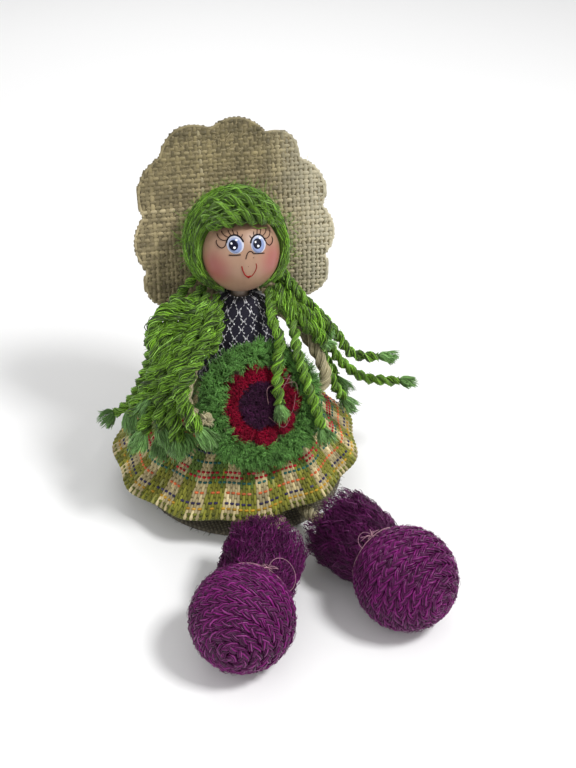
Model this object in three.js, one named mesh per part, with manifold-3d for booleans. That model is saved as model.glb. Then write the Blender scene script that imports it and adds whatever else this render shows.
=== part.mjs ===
// Fibre art doll: a seated cloth and fique doll with a wooden ball head, a scalloped
// burlap hat, twisted plaits, a large flower held in both hands, and two ball boots
// on cord legs. Millimetres, +Z up, the doll faces -Y, origin at the middle of the
// flat base on the floor. Left and right are the doll's own: her left is +X.

import * as THREE from 'three';
import { mergeVertices } from 'three/addons/utils/BufferGeometryUtils.js';
import Module from 'manifold-3d';

const wasm = await Module();
wasm.setup();

// Shared clearances and cutting sizes
const gap = 0.3;
const overrun = 1;
const cordRadius = 3.8;
const degree = Math.PI / 180;
const wholeTurn = 360;
const rodSides = 12;

// Base and stuffed body
const baseRadius = 57;
const baseThick = 3;
const baseSegments = 40;
const coreRadius = 47;
const coreTop = 113.5;
const waistHeight = 71;
const waistRadius = 23;
const coreSegments = 24;
const lowerCoreShares = [[0, 0.9], [0.1, 0.99], [0.28, 1], [0.46, 0.93], [0.66, 0.75], [0.85, 0.58]];
const upperCoreShares = [[0, 1], [0.22, 0.98], [0.57, 0.79], [0.82, 0.58], [0.96, 0.36], [1, 0.2]];
const leanForward = 5;
const leanAside = 1;

// Bodice and skirt cloth
const bodiceThick = 1.2;
const skirtThick = 1.5;
const skirtWaistRadius = 25;
const hemRadius = 67.5;
const hemHeight = 18.5;
const hemShift = [-3.1, 1];
const hemTilt = 2.4;
const hemLift = 4;
const hemLiftTurn = -95;
const foldDepth = 1.5;
const foldCount = 11;
const skirtSegments = 44;
const skirtShares = [[0, 0], [0.135, 0.1], [0.365, 0.262], [0.596, 0.49], [0.788, 0.73], [1, 1]];

// Head, neck and hat
const headRadius = 20;
const neckShow = 3;
const headHeight = coreTop + gap + bodiceThick + neckShow + headRadius;
const headTurn = -8;
const headTilt = -20;
const headSides = 24;
const capSides = 20;
const neckRadius = 4.1;
const neckSink = 17;
const neckPlug = 8;
const hatSeat = 24;
const hatThick = 2;
const hatRadius = 53.5;
const hatRise = 10;
const hatAside = 3;
const hatFlat = 10;
const hatCurl = 13;
const hatRingShares = [0.1, 0.5, 0.78, 1];
const hatLobeSteps = 5;
const notchTurns = [-23.6, 6.6, 41.6, 68.8, 101.9, 135.6, 171.9, 203.2, 232, 270, 308];
const notchShares = [0.95, 0.866, 0.873, 0.91, 0.942, 0.98, 0.911, 0.99, 1.02, 0.96, 1.03];
const lobeShares = [0.981, 0.951, 0.988, 1.007, 1.068, 1.02, 1.015, 1.12, 1.05, 1.05, 1.105];

// Hair on the head
const capRadius = 28.2;
const capBack = 8;
const capRise = 3.5;
const capFront = 5;
const capBottom = 21;
const napeWidth = 20;
const fringeRadius = 26;
const fringeThick = 5.6;
const fringeDeep = 9;
const fringeTurn = 30;
const fringeSpan = 50;
const fringeSides = 10;
const fringeShares = [0.3, 0.72, 0.92, 1, 1, 1, 0.92, 0.72, 0.3];

// Flower
const flowerPlace = [-2, -40.5, 74.5];
const flowerTilt = 30;
const backingRadius = 30.5;
const backingThick = 2;
const leafRadius = 33;
const leafThick = 6;
const petalRadius = 21.5;
const petalThick = 5;
const petalCount = 8;
const petalWave = 1.6;
const centreRadius = 11.5;
const centreThick = 6;
const domeShares = [[0, 0], [1, 0], [0.97, 0.4], [0.75, 0.8], [0.4, 0.97], [0, 1]];
const flowerSegments = 32;
const pileSteps = 6;

// Legs and boots, each on a straight line seen from above
const legLift = 12.5;
const bootRadius = 24.6;
const bootFlat = 0.5;
const braidThick = 3.3;
const ankleHole = 6.5;
const cuffBore = 6;
const cuffRootShare = 0.7073;
const cuffStart = bootRadius * cuffRootShare;
const cuffLength = 33.4;
const cuffShares = [[0, 0.86], [0.14, 0.87], [0.35, 1], [0.7, 1], [1, 0.95]];
const cuffInset = 4;
const cuffDip = 0.1;
const cuffRadius = bootRadius - cuffInset;
const mouthLift = cuffRadius - cuffDip;
const tieThick = 0.6;
const tieRadius = cuffRadius * cuffShares[0][1] + tieThick + 2 * gap;
const linkLength = 8.5;
const rootLength = 18;
const ballSegments = 18;
const cuffSegments = 18;
const cordSides = 12;
const roundSteps = 3;
const tieSides = 5;
const tieSegments = 24;
const rightBall = [-40.8, -127.4];
const rightToeOut = -32;
const rightReach = 23.6;
const leftBall = [41.5, -127.8];
const leftToeOut = 18.7;
const leftReach = 17.2;
const legs = [
  { side: 'right', ball: rightBall, toeOut: rightToeOut, reach: rightReach },
  { side: 'left', ball: leftBall, toeOut: leftToeOut, reach: leftReach },
];

// Arms and hands
const armRadius = 3.2;
const handRadius = 4.4;
const armShares = [[0, 0.9], [0.2, 1], [0.8, 1], [1, 0.85]];
const armSteps = 9;
const armSides = 8;
const handSides = 12;
const armRoutes = {
  right: [
    [-12, 2, 107], [-21, -7, 101], [-30.5, -20, 93], [-38, -31, 87.5],
    [-41, -39.8, 80.8], [-36.5, -42.3, 78.3],
  ],
  left: [
    [14, 2, 107], [25, -6, 100], [32, -15, 91], [36, -24, 82],
    [36, -30.2, 75.2], [30, -30.7, 68.2],
  ],
};

// Twisted plaits with a loose tuft at the end
const plaitRadius = 2.6;
const plaitShares = [[0, 0.8], [0.1, 1], [0.76, 1], [0.82, 0.75], [0.92, 1.35], [0.98, 1.25], [1, 0.8]];
const plaitSides = 7;
const plaitSteps = 12;
const plaitRoutes = {
  plait_left_front: [
    [14, -3, 119], [12, -12, 114], [10, -22, 110], [11, -29, 104], [8, -34, 94],
    [6, -41, 83], [6, -47, 71],
  ],
  plait_left_flower: [
    [18, -2, 119], [20, -14, 111], [20, -25, 105], [19, -32, 98], [21, -38, 87],
    [24, -46, 73], [27, -55, 57],
  ],
  plait_left_upper: [
    [22, 2, 124], [29, -12, 115], [40, -11, 101], [48, -14, 90], [55, -17, 79],
    [65, -20, 76], [78, -25, 77],
  ],
  plait_left_side: [
    [20, 4, 119], [30, -6, 108], [39, -7, 90], [42, -14, 74], [46, -21, 61],
    [54, -22, 47],
  ],
  plait_left_lower: [
    [24, 6, 122], [34, 0, 105], [45, -1, 84], [54, -5, 67], [65, -11, 57],
    [77, -15, 54], [91, -20, 54],
  ],
  plait_left_back: [
    [22, 9, 118], [31, 8, 100], [39, 7, 82], [48, 2, 66], [57, -4, 48],
  ],
  plait_right_outer: [
    [-20.5, 12, 123], [-34, 10, 111], [-45, 10, 99], [-47, 8, 86], [-51, 9, 71],
    [-58, 10, 56], [-66, 12, 47], [-77, 15, 42],
  ],
  plait_right_side: [
    [-20.5, 3.5, 121.5], [-32, -2, 104], [-39, -3, 88], [-46, -2, 73], [-53, -3, 60],
    [-61, -8, 45],
  ],
  plait_right_lower: [
    [-17.5, 8, 119.5], [-26, 8, 98], [-33, 6, 80], [-40, -1, 65], [-46, -12, 55],
    [-51, -25, 45],
  ],
  plait_right_long: [
    [-18, -0.5, 120.5], [-26, -9, 107], [-33, -8, 93], [-38, -11, 77], [-43, -24, 66],
    [-41, -40, 58],
  ],
  plait_right_inner: [
    [-13, 0, 118.5], [-16, -14, 108], [-22, -20, 99], [-31, -24, 99],
  ],
};

// Colours
const burlapTan = 0x96876a;
const hairGreen = 0x5f9632;
const leafGreen = 0x55873f;
const crimson = 0x8c0a2d;
const flowerPurple = 0x3c1e32;
const bodiceNavy = 0x1e1c28;
const skirtLime = 0x8f9a3c;
const fibrePale = 0xbeb48c;
const bootPurple = 0x5f2355;
const cuffPurple = 0x4b1946;
const skinWood = 0xc39b82;
const threadPink = 0xd8a8b4;
const waddingWhite = 0xe6e2d8;

const model = new THREE.Group();

function piece(name, geometry, colour, parent = model) {
  const material = new THREE.MeshStandardMaterial({ color: colour, roughness: 0.9, metalness: 0 });
  const mesh = new THREE.Mesh(geometry, material);
  mesh.name = name;
  parent.add(mesh);
  return mesh;
}

function bare(geometry) {
  const plain = geometry.clone();
  plain.deleteAttribute('normal');
  plain.deleteAttribute('uv');
  return mergeVertices(plain);
}

function signedVolume(geometry) {
  const place = geometry.attributes.position;
  const index = geometry.index;
  const corners = [new THREE.Vector3(), new THREE.Vector3(), new THREE.Vector3()];
  let total = 0;
  for (let i = 0; i < index.count; i += corners.length) {
    corners.forEach((corner, k) => corner.fromBufferAttribute(place, index.getX(i + k)));
    total += corners[0].dot(corners[1].clone().cross(corners[2]));
  }
  return total;
}

// Rings of points skinned into a closed body, its faces pointing out
function skinned(rings, loop = false) {
  const count = rings[0].length;
  const positions = rings.flat().flatMap((point) => point.toArray());
  const triangles = [];
  const bands = loop ? rings.length : rings.length - 1;
  for (let band = 0; band < bands; band += 1) {
    const next = (band + 1) % rings.length;
    for (let i = 0; i < count; i += 1) {
      const j = (i + 1) % count;
      const [a, b, c, d] = [band * count + i, band * count + j, next * count + i, next * count + j];
      triangles.push(a, b, d, a, d, c);
    }
  }
  if (!loop) {
    [0, rings.length - 1].forEach((end) => {
      const middle = new THREE.Vector3();
      rings[end].forEach((point) => middle.addScaledVector(point, 1 / count));
      const centre = positions.length / middle.toArray().length;
      positions.push(...middle.toArray());
      for (let i = 0; i < count; i += 1) {
        const pair = [end * count + i, end * count + ((i + 1) % count)];
        triangles.push(centre, ...(end ? pair : pair.reverse()));
      }
    });
  }
  const geometry = new THREE.BufferGeometry();
  geometry.setAttribute('position', new THREE.Float32BufferAttribute(positions, 3));
  geometry.setIndex(triangles);
  if (signedVolume(geometry) < 0) geometry.setIndex(triangles.reverse());
  return geometry;
}

function solid(geometry) {
  const merged = bare(geometry);
  if (signedVolume(merged) < 0) merged.setIndex([...merged.index.array].reverse());
  const mesh = new wasm.Mesh({
    numProp: merged.attributes.position.itemSize,
    vertProperties: new Float32Array(merged.attributes.position.array),
    triVerts: new Uint32Array(merged.index.array),
  });
  return new wasm.Manifold(mesh);
}

function fromSolid(body) {
  const mesh = body.getMesh();
  const geometry = new THREE.BufferGeometry();
  geometry.setAttribute('position', new THREE.Float32BufferAttribute(mesh.vertProperties, mesh.numProp));
  geometry.setIndex([...mesh.triVerts]);
  return geometry;
}

function cut(geometry, cutters) {
  return fromSolid(cutters.reduce((body, cutter) => body.subtract(solid(cutter)), solid(geometry)));
}

function shareAt(table, at) {
  const after = Math.max(1, table.findIndex(([x]) => x >= at));
  const [x0, y0] = table[after - 1];
  const [x1, y1] = table[after];
  return THREE.MathUtils.mapLinear(at, x0, x1, y0, y1);
}

// A body turned about the Z axis from [radius, height] points
function turned(points, segments) {
  const outline = points.map(([radius, height]) => new THREE.Vector2(radius, height));
  return new THREE.LatheGeometry(outline, segments).rotateX(Math.PI / 2);
}

function rod(radius, from, to, segments = rodSides) {
  const [start, end] = [new THREE.Vector3(...from), new THREE.Vector3(...to)];
  const along = end.clone().sub(start);
  const body = new THREE.CylinderGeometry(radius, radius, along.length(), segments);
  const up = new THREE.Vector3(0, 1, 0);
  const turn = new THREE.Quaternion().setFromUnitVectors(up, along.clone().normalize());
  return body.applyQuaternion(turn).translate(...start.add(end).multiplyScalar(0.5).toArray());
}

// A round limb along a route, its radius following a table of shares
function limb(route, radius, shares, steps, sides) {
  const stops = route.map((point) => new THREE.Vector3(...point));
  const curve = new THREE.CatmullRomCurve3(stops, false, 'centripetal');
  const { normals, binormals } = curve.computeFrenetFrames(steps, false);
  const rings = normals.map((normal, i) => {
    const centre = curve.getPointAt(i / steps);
    const size = radius * shareAt(shares, i / steps);
    return Array.from({ length: sides }, (_, k) => {
      const turn = (k / sides) * 2 * Math.PI;
      return centre.clone()
        .addScaledVector(normal, size * Math.cos(turn))
        .addScaledVector(binormals[i], size * Math.sin(turn));
    });
  });
  return skinned(rings);
}

// The upper body leans a little, so its rings shift with height
function leaning(geometry) {
  const place = geometry.attributes.position;
  for (let i = 0; i < place.count; i += 1) {
    const share = THREE.MathUtils.clamp((place.getZ(i) - waistHeight) / (coreTop - waistHeight), 0, 1);
    place.setXYZ(i, place.getX(i) + leanAside * share, place.getY(i) + leanForward * share, place.getZ(i));
  }
  return geometry;
}

// Body
const coreFoot = baseThick + gap;
const lowerCore = lowerCoreShares.map(([up, wide]) => [
  coreRadius * wide,
  THREE.MathUtils.lerp(coreFoot, waistHeight, up),
]);
const upperCore = upperCoreShares.map(([up, wide]) => [
  waistRadius * wide,
  THREE.MathUtils.lerp(waistHeight, coreTop, up),
]);
const neckAxis = [leanAside, leanForward];
const neckFoot = coreTop - neckSink;
const neckHole = rod(neckRadius + gap, [...neckAxis, neckFoot], [...neckAxis, headHeight - headRadius]);

function legPoint(leg, distance, height) {
  const [x, y] = leg.ball;
  const turn = leg.toeOut * degree;
  return [x - Math.sin(turn) * distance, y + Math.cos(turn) * distance, height];
}

const mouthAt = cuffStart + cuffLength;
const rootHoles = legs.map((leg) => {
  const [x, y] = legPoint(leg, mouthAt + leg.reach + linkLength, legLift);
  return rod(cordRadius + gap, [x, y + cordRadius, legLift], [x, y + rootLength + gap, legLift]);
});

function bodyCore() {
  const profile = [[0, coreFoot], ...lowerCore, ...upperCore, [0, coreTop]];
  return cut(leaning(turned(profile, coreSegments)), [neckHole, ...rootHoles]);
}

const bodiceRoom = (() => {
  const outer = upperCore.map(([radius, height]) => [
    radius + bodiceThick + 2 * gap,
    height + bodiceThick + 2 * gap,
  ]);
  const top = outer[outer.length - 1][1];
  return leaning(turned([[0, waistHeight], ...outer, [0, top]], coreSegments));
})();

function bodice() {
  const inner = upperCore.map(([radius, height]) => [radius + gap, height + gap]);
  const outer = upperCore.map(([radius, height]) => [radius + gap + bodiceThick, height + gap + bodiceThick]);
  outer[0] = [outer[0][0], inner[0][1]];
  const profile = [...outer, ...inner.reverse(), outer[0]];
  return leaning(turned(profile, coreSegments));
}

// The skirt hangs from the waist, with folds that deepen toward the hem
function skirt() {
  const lowered = skirtShares.map(([down, out]) => [
    down,
    THREE.MathUtils.lerp(skirtWaistRadius, hemRadius, out),
  ]);
  const rows = [
    ...lowered.map(([down, radius]) => [down, radius]),
    ...lowered.reverse().map(([down, radius]) => [down, radius - skirtThick]),
  ];
  const rings = rows.map(([down, radius]) => Array.from({ length: skirtSegments }, (_, i) => {
    const turn = (i / skirtSegments) * 2 * Math.PI;
    const fold = foldDepth * down * Math.cos(foldCount * turn);
    const lift = hemLift * Math.max(0, Math.cos(turn - hemLiftTurn * degree)) ** 2;
    const hem = hemHeight + lift + hemTilt * Math.cos(turn);
    return new THREE.Vector3(
      (radius + fold) * Math.cos(turn) + hemShift[0] * down ** 2,
      (radius + fold) * Math.sin(turn) + hemShift[1] * down ** 2,
      THREE.MathUtils.lerp(waistHeight, hem, down),
    );
  }));
  return skinned(rings, true);
}

const baseOutline = [[0, 0], [baseRadius, 0], [baseRadius, baseThick], [0, baseThick]];
piece('base_disc', turned(baseOutline, baseSegments), burlapTan);
piece('body_core', bodyCore(), burlapTan);
piece('bodice', bodice(), bodiceNavy);
piece('skirt', skirt(), skirtLime);

// Head, neck, hat and hair, in the head's own frame: +Y is behind the face
const headFrame = new THREE.Group();
headFrame.position.set(...neckAxis, headHeight);
headFrame.rotation.set(headTilt * degree, 0, headTurn * degree, 'ZXY');
headFrame.updateMatrix();
model.add(headFrame);
const intoHead = headFrame.matrix.clone().invert();

const neckTop = headHeight - headRadius + neckPlug;
piece('neck_dowel', rod(neckRadius, [...neckAxis, neckFoot + gap], [...neckAxis, neckTop]), fibrePale);

function headBall() {
  const hole = rod(neckRadius + gap, [...neckAxis, 0], [...neckAxis, neckTop + gap]).applyMatrix4(intoHead);
  return cut(new THREE.SphereGeometry(headRadius, headSides, headSides / 2), [hole]);
}

function hat() {
  const spot = (turn, share) => new THREE.Vector2(
    hatRadius * share * Math.cos(turn * degree),
    hatRadius * share * Math.sin(turn * degree),
  );
  const notches = notchTurns.map((turn, i) => spot(turn, notchShares[i]));
  const outline = new THREE.Shape();
  outline.moveTo(notches[0].x, notches[0].y);
  notches.forEach((from, i) => {
    const next = (i + 1) % notches.length;
    const span = (notchTurns[next] - notchTurns[i] + wholeTurn) % wholeTurn;
    const apex = spot(notchTurns[i] + span / 2, lobeShares[i]);
    const chord = from.clone().lerp(notches[next], 0.5);
    const pull = apex.clone().add(apex).sub(chord);
    outline.quadraticCurveTo(pull.x, pull.y, notches[next].x, notches[next].y);
  });
  const edge = outline.getPoints(hatLobeSteps).slice(1);
  const face = (level) => hatRingShares.map((share) => edge.map((point) => {
    const drop = Math.max(0, -point.y * share - hatFlat) / (hatRadius - hatFlat);
    return new THREE.Vector3(
      hatAside + point.x * share,
      level + hatCurl * drop ** 2,
      hatRise + point.y * share,
    );
  }));
  return skinned([...face(hatSeat), ...face(hatSeat + hatThick).reverse()]);
}

function fringeRoll(extra) {
  const steps = fringeShares.length - 1;
  const out = new THREE.Vector3(0, -Math.sin(fringeTurn * degree), Math.cos(fringeTurn * degree));
  const front = new THREE.Vector3(0, -Math.cos(fringeTurn * degree), -Math.sin(fringeTurn * degree));
  const rings = fringeShares.map((share, i) => {
    const turn = THREE.MathUtils.lerp(-fringeSpan, fringeSpan, i / steps) * degree;
    const ray = new THREE.Vector3(Math.sin(turn), 0, 0).addScaledVector(out, Math.cos(turn));
    return Array.from({ length: fringeSides }, (_, k) => {
      const around = (k / fringeSides) * 2 * Math.PI;
      return ray.clone()
        .multiplyScalar(fringeRadius + (fringeThick * share + extra) * Math.cos(around))
        .addScaledVector(front, (fringeDeep * share + extra) * Math.sin(around));
    });
  });
  return skinned(rings);
}

const headRoom = new THREE.SphereGeometry(headRadius + gap, headSides, headSides / 2);

function hairCap(extra) {
  const size = 2 * (capRadius + capBack);
  const behind = new THREE.BoxGeometry(size, size, size).translate(0, hatSeat - gap + size / 2, 0);
  const ahead = new THREE.BoxGeometry(size, size, size).translate(0, -capFront - extra - size / 2, 0);
  const below = new THREE.BoxGeometry(size, size, size).translate(0, 0, -capBottom - extra - size / 2);
  const nape = new THREE.BoxGeometry(napeWidth - 2 * extra, size, size).translate(0, 0, -size / 2);
  const face = rod(headRadius + gap, [0, 0, 0], [0, -size, 0], headSides);
  const ball = new THREE.SphereGeometry(capRadius + extra, capSides, capSides / 2);
  ball.translate(0, capBack, capRise);
  return cut(ball, [headRoom, face, behind, ahead, below, nape, fringeRoll(gap)]);
}

piece('head_ball', headBall(), skinWood, headFrame);
piece('hat', hat(), burlapTan, headFrame);
piece('hair_cap', hairCap(0), hairGreen, headFrame);
piece('fringe_roll', cut(fringeRoll(0), [headRoom]), hairGreen, headFrame);

const capRoom = hairCap(gap).applyMatrix4(headFrame.matrix);
for (const [name, route] of Object.entries(plaitRoutes)) {
  const plait = limb(route, plaitRadius, plaitShares, plaitSteps, plaitSides);
  piece(name, cut(plait, [capRoom]), hairGreen);
}

// Flower, in its own frame: +Z points out of its face and 0 is the backing's back
const flowerFrame = new THREE.Group();
flowerFrame.position.set(...flowerPlace);
flowerFrame.rotation.x = (90 - flowerTilt) * degree;
model.add(flowerFrame);

// A soft ring of pile, its outer edge waved into lobes
function pileRing(inner, outer, thick, lobes, wave) {
  const rings = Array.from({ length: pileSteps }, (_, row) => {
    const up = (row / (pileSteps - 1)) * Math.PI;
    return Array.from({ length: flowerSegments }, (__, i) => {
      const turn = (i / flowerSegments) * 2 * Math.PI;
      const edge = outer - wave + wave * Math.cos(lobes * turn);
      const radius = THREE.MathUtils.lerp(inner, edge, (1 + Math.cos(up)) / 2);
      const height = thick * Math.sqrt(Math.sin(up));
      return new THREE.Vector3(radius * Math.cos(turn), radius * Math.sin(turn), height);
    });
  });
  return skinned(rings, true);
}

const pileLevel = -leafThick;
const petalSeat = petalRadius + gap;
const backingTop = pileLevel - gap;
const backing = rod(backingRadius, [0, 0, backingTop - backingThick], [0, 0, backingTop], flowerSegments);
piece('flower_backing', backing, fibrePale, flowerFrame);
const leafRing = pileRing(petalSeat, leafRadius, leafThick, 0, 0).translate(0, 0, pileLevel);
piece('flower_leaf_ring', leafRing, leafGreen, flowerFrame);
piece(
  'flower_petal_ring',
  pileRing(centreRadius + gap, petalRadius, petalThick, petalCount, petalWave).translate(0, 0, pileLevel),
  crimson,
  flowerFrame,
);
const domePoints = domeShares.map(([wide, up]) => [centreRadius * wide, pileLevel + centreThick * up]);
piece('flower_centre', turned(domePoints, flowerSegments / 2), flowerPurple, flowerFrame);

// Arms end in knotted hands at the flower's rim
for (const [side, route] of Object.entries(armRoutes)) {
  const [before, end] = route.slice(-2).map((point) => new THREE.Vector3(...point));
  const spot = end.clone().addScaledVector(end.clone().sub(before).normalize(), handRadius + gap);
  const hand = new THREE.SphereGeometry(handRadius, handSides, handSides / 2).translate(...spot.toArray());
  piece(`arm_${side}`, cut(limb(route, armRadius, armShares, armSteps, armSides), [bodiceRoom]), fibrePale);
  piece(`hand_${side}`, hand, fibrePale);
}

// Legs: a root sewn into the body, a short link and the leg, with round ends where the cord flexes
function cordStretch(from, to, roundStart, roundEnd) {
  const [start, end] = [new THREE.Vector3(...from), new THREE.Vector3(...to)];
  const reach = start.distanceTo(end);
  const profile = [];
  for (let i = 0; i <= roundSteps; i += 1) {
    const turn = (i / roundSteps) * (Math.PI / 2);
    profile.push([cordRadius * Math.sin(turn), roundStart ? -cordRadius * Math.cos(turn) : 0]);
  }
  for (let i = 0; i <= roundSteps; i += 1) {
    const turn = (i / roundSteps) * (Math.PI / 2);
    profile.push([cordRadius * Math.cos(turn), reach + (roundEnd ? cordRadius * Math.sin(turn) : 0)]);
  }
  const flat = profile.filter(([r, z], i) => i === 0 || r !== profile[i - 1][0] || z !== profile[i - 1][1]);
  const body = turned(flat.map(([r, z]) => [Math.abs(r), z]), cordSides);
  const up = new THREE.Vector3(0, 0, 1);
  const turn = new THREE.Quaternion().setFromUnitVectors(up, end.sub(start).normalize());
  return body.applyQuaternion(turn).translate(...from);
}

function bootParts(leg) {
  const ballHeight = bootRadius - bootFlat;
  const centre = legPoint(leg, 0, ballHeight);
  const mouth = legPoint(leg, mouthAt, mouthLift);
  const axis = new THREE.Vector3(...mouth).sub(new THREE.Vector3(...centre)).normalize();
  const along = (distance) => new THREE.Vector3(...centre).addScaledVector(axis, distance).toArray();
  const lay = (geometry) => geometry
    .applyQuaternion(new THREE.Quaternion().setFromUnitVectors(new THREE.Vector3(0, 0, 1), axis))
    .translate(...centre);
  const floor = new THREE.BoxGeometry(4 * bootRadius, 4 * bootRadius, bootRadius)
    .translate(centre[0], centre[1], -bootRadius / 2);
  const coreSize = bootRadius - braidThick - gap;
  const ball = (radius) => new THREE.SphereGeometry(radius, ballSegments, ballSegments / 2);
  const sphere = (radius) => ball(radius).translate(...centre);
  const hole = rod(ankleHole, centre, along(bootRadius + overrun));
  const cover = cut(sphere(bootRadius), [sphere(bootRadius - braidThick), hole, floor]);
  const socketDepth = coreSize / 2;
  const core = cut(sphere(coreSize), [rod(cordRadius + gap, along(socketDepth), along(bootRadius))]);
  const outer = cuffShares.map(([back, wide]) => [cuffRadius * wide, cuffStart + cuffLength * back]);
  const cuffProfile = [[cuffBore, cuffStart], ...outer, [cuffBore, mouthAt], [cuffBore, cuffStart]];
  const cuff = cut(lay(turned(cuffProfile, cuffSegments)), [sphere(bootRadius + gap)]);
  const ring = new THREE.TorusGeometry(tieRadius, tieThick, tieSides, tieSegments);
  const tie = lay(ring.translate(0, 0, cuffStart + 2 * tieThick));
  const bend = cordRadius + gap;
  const cord = cordStretch(along(socketDepth + gap), along(mouthAt - bend), false, false);
  return { cover, core, cuff, tie, cord };
}

for (const leg of legs) {
  const swingAt = mouthAt + leg.reach;
  const flexAt = swingAt + linkLength;
  const bend = cordRadius + gap;
  const mouth = legPoint(leg, mouthAt, mouthLift);
  const swing = legPoint(leg, swingAt, legLift);
  const flex = legPoint(leg, flexAt, legLift);
  const behind = (distance) => [flex[0], flex[1] + distance, flex[2]];
  piece(`leg_root_${leg.side}`, cordStretch(behind(rootLength), behind(bend), false, false), fibrePale);
  const linkEnd = legPoint(leg, swingAt + bend, legLift);
  piece(`leg_link_${leg.side}`, cordStretch(flex, linkEnd, true, false), fibrePale);
  piece(`leg_${leg.side}`, cordStretch(swing, mouth, true, true), fibrePale);
  const parts = bootParts(leg);
  piece(`ankle_cord_${leg.side}`, parts.cord, fibrePale);
  piece(`boot_core_${leg.side}`, parts.core, waddingWhite);
  piece(`boot_cover_${leg.side}`, parts.cover, bootPurple);
  piece(`boot_cuff_${leg.side}`, parts.cuff, cuffPurple);
  piece(`ankle_tie_${leg.side}`, parts.tie, threadPink);
}

export default model;
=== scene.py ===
"""Looks of the fique art doll: fibres, weave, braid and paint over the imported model, in metres."""

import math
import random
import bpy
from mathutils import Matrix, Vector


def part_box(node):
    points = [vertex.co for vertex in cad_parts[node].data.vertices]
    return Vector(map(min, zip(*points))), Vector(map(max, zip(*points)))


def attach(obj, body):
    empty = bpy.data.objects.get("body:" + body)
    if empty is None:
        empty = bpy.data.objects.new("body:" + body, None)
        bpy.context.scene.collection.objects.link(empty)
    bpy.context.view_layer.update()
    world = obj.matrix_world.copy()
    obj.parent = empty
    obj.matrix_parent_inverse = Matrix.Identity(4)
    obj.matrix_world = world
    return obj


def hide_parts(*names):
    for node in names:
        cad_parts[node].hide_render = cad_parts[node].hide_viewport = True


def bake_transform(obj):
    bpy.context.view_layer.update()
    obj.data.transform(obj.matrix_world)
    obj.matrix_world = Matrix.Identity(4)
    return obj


bl_info = {
    "name": "Fique doll looks",
    "version": (1, 0, 0),
    "blender": (4, 5, 0),
    "location": "3D View > Sidebar > Fique doll",
    "description": "Makes the fibre, cloth and paint of a seated fique doll over its solids",
    "category": "Object",
}

import bmesh
import bpy
from bpy.props import FloatProperty, FloatVectorProperty, IntProperty, PointerProperty
from mathutils import Matrix, Vector

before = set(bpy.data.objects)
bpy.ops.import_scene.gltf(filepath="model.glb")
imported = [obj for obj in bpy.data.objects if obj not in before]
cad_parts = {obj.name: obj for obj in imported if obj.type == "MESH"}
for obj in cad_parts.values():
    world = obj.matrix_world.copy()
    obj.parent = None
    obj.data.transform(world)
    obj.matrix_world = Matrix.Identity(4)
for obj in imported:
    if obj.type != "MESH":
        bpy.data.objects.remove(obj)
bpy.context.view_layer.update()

TURN = 2 * math.pi
MM = 0.001


def dye(red, green, blue):
    """A colour written as on a screen, 0 to 255, as the linear colour that shaders take."""
    def linear(value):
        share = value / 255
        return share / 12.92 if share <= 0.04045 else ((share + 0.055) / 1.055) ** 2.4
    return (linear(red), linear(green), linear(blue))


def length(name, description, default):
    return FloatProperty(
        name=name, description=description, default=default * MM, min=0.0, unit="LENGTH", precision=5
    )


def colour(name, description, default):
    return FloatVectorProperty(
        name=name, description=description, default=default, subtype="COLOR", min=0.0, max=1.0
    )


class DollSizes(bpy.types.PropertyGroup):
    fibre: length("Hair fibre", "Radius of one dyed fibre of the hair", 0.24)
    stray: length("Stray fibre", "Radius of a loose hair-thin fibre", 0.09)
    plait_lay: length("Plait lay", "Length in which a plait's two strands turn once", 12.0)
    plait_strand: length("Plait strand", "Radius of one strand of a plait", 1.55)
    plait_spread: length("Plait spread", "How far a strand's middle lies from the plait's middle", 1.5)
    leg_lay: length("Leg lay", "Length in which the leg cord's strands turn once", 15.0)
    arm_lay: length("Arm lay", "Length in which the arm cord's strands turn once", 22.0)
    burlap_pitch: length("Burlap pitch", "Distance between two threads of the hat", 2.35)
    burlap_thread: length("Burlap thread", "Radius of a thread of the hat", 1.1)
    braid_row: length("Braid row", "Width of one round of the boots' braid", 5.5)
    braid_lay: length(
        "Braid lay", "Length in which a strand of the boots' braid crosses and comes back", 13.0
    )
    braid_strand: length("Braid strand", "Radius of one strand of the boots' braid", 1.6)
    skirt_columns: IntProperty(
        name="Skirt columns", description="Floats side by side round the skirt", default=264
    )
    skirt_rows: IntProperty(name="Skirt rows", description="Weft rows from the waist to the hem", default=27)


class DollColours(bpy.types.PropertyGroup):
    hair: colour("Hair", "Dyed green fique", dye(108, 152, 40))
    tuft: colour("Tufts", "Brushed out ends of the plaits", dye(124, 172, 92))
    leaf: colour("Leaf pile", "Green pile round the flower", dye(108, 162, 78))
    petal: colour("Petals", "Crimson pile", dye(170, 2, 54))
    heart: colour("Flower centre", "Dark purple pile", dye(66, 18, 58))
    natural: colour("Natural fique", "Undyed cord", dye(210, 199, 158))
    burlap: colour("Burlap", "Jute of the hat", dye(162, 148, 112))
    base: colour("Base burlap", "Dark jute of the base", dye(112, 106, 90))
    bodice: colour("Bodice", "Dark cloth", dye(34, 32, 48))
    fleck: colour("Bodice fleck", "Pale stitches of the cloth", dye(228, 227, 230))
    cream: colour("Skirt cream", "Pale floats of the skirt", dye(202, 186, 138))
    lime: colour("Skirt lime", "Green floats near the hem", dye(138, 138, 46))
    moss: colour("Skirt moss", "Green floats higher up", dye(104, 130, 56))
    boot: colour("Boot", "Purple braid", dye(116, 24, 102))
    cuff: colour("Cuff", "Purple frayed fique", dye(100, 22, 88))
    skin: colour("Skin", "Painted wood of the head", dye(164, 130, 107))
    cheek: colour("Cheek", "Blush", dye(156, 78, 74))
    thread: colour("Thread", "Pink sewing thread", dye(214, 160, 178))
    line: colour("Line", "Dark paint of lashes, lids and nose", dye(46, 26, 22))


def sizes():
    return bpy.context.scene.doll_sizes


def colours():
    return bpy.context.scene.doll_colours


# Places of the head, flower, plaits and limbs; the solids have the same

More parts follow.
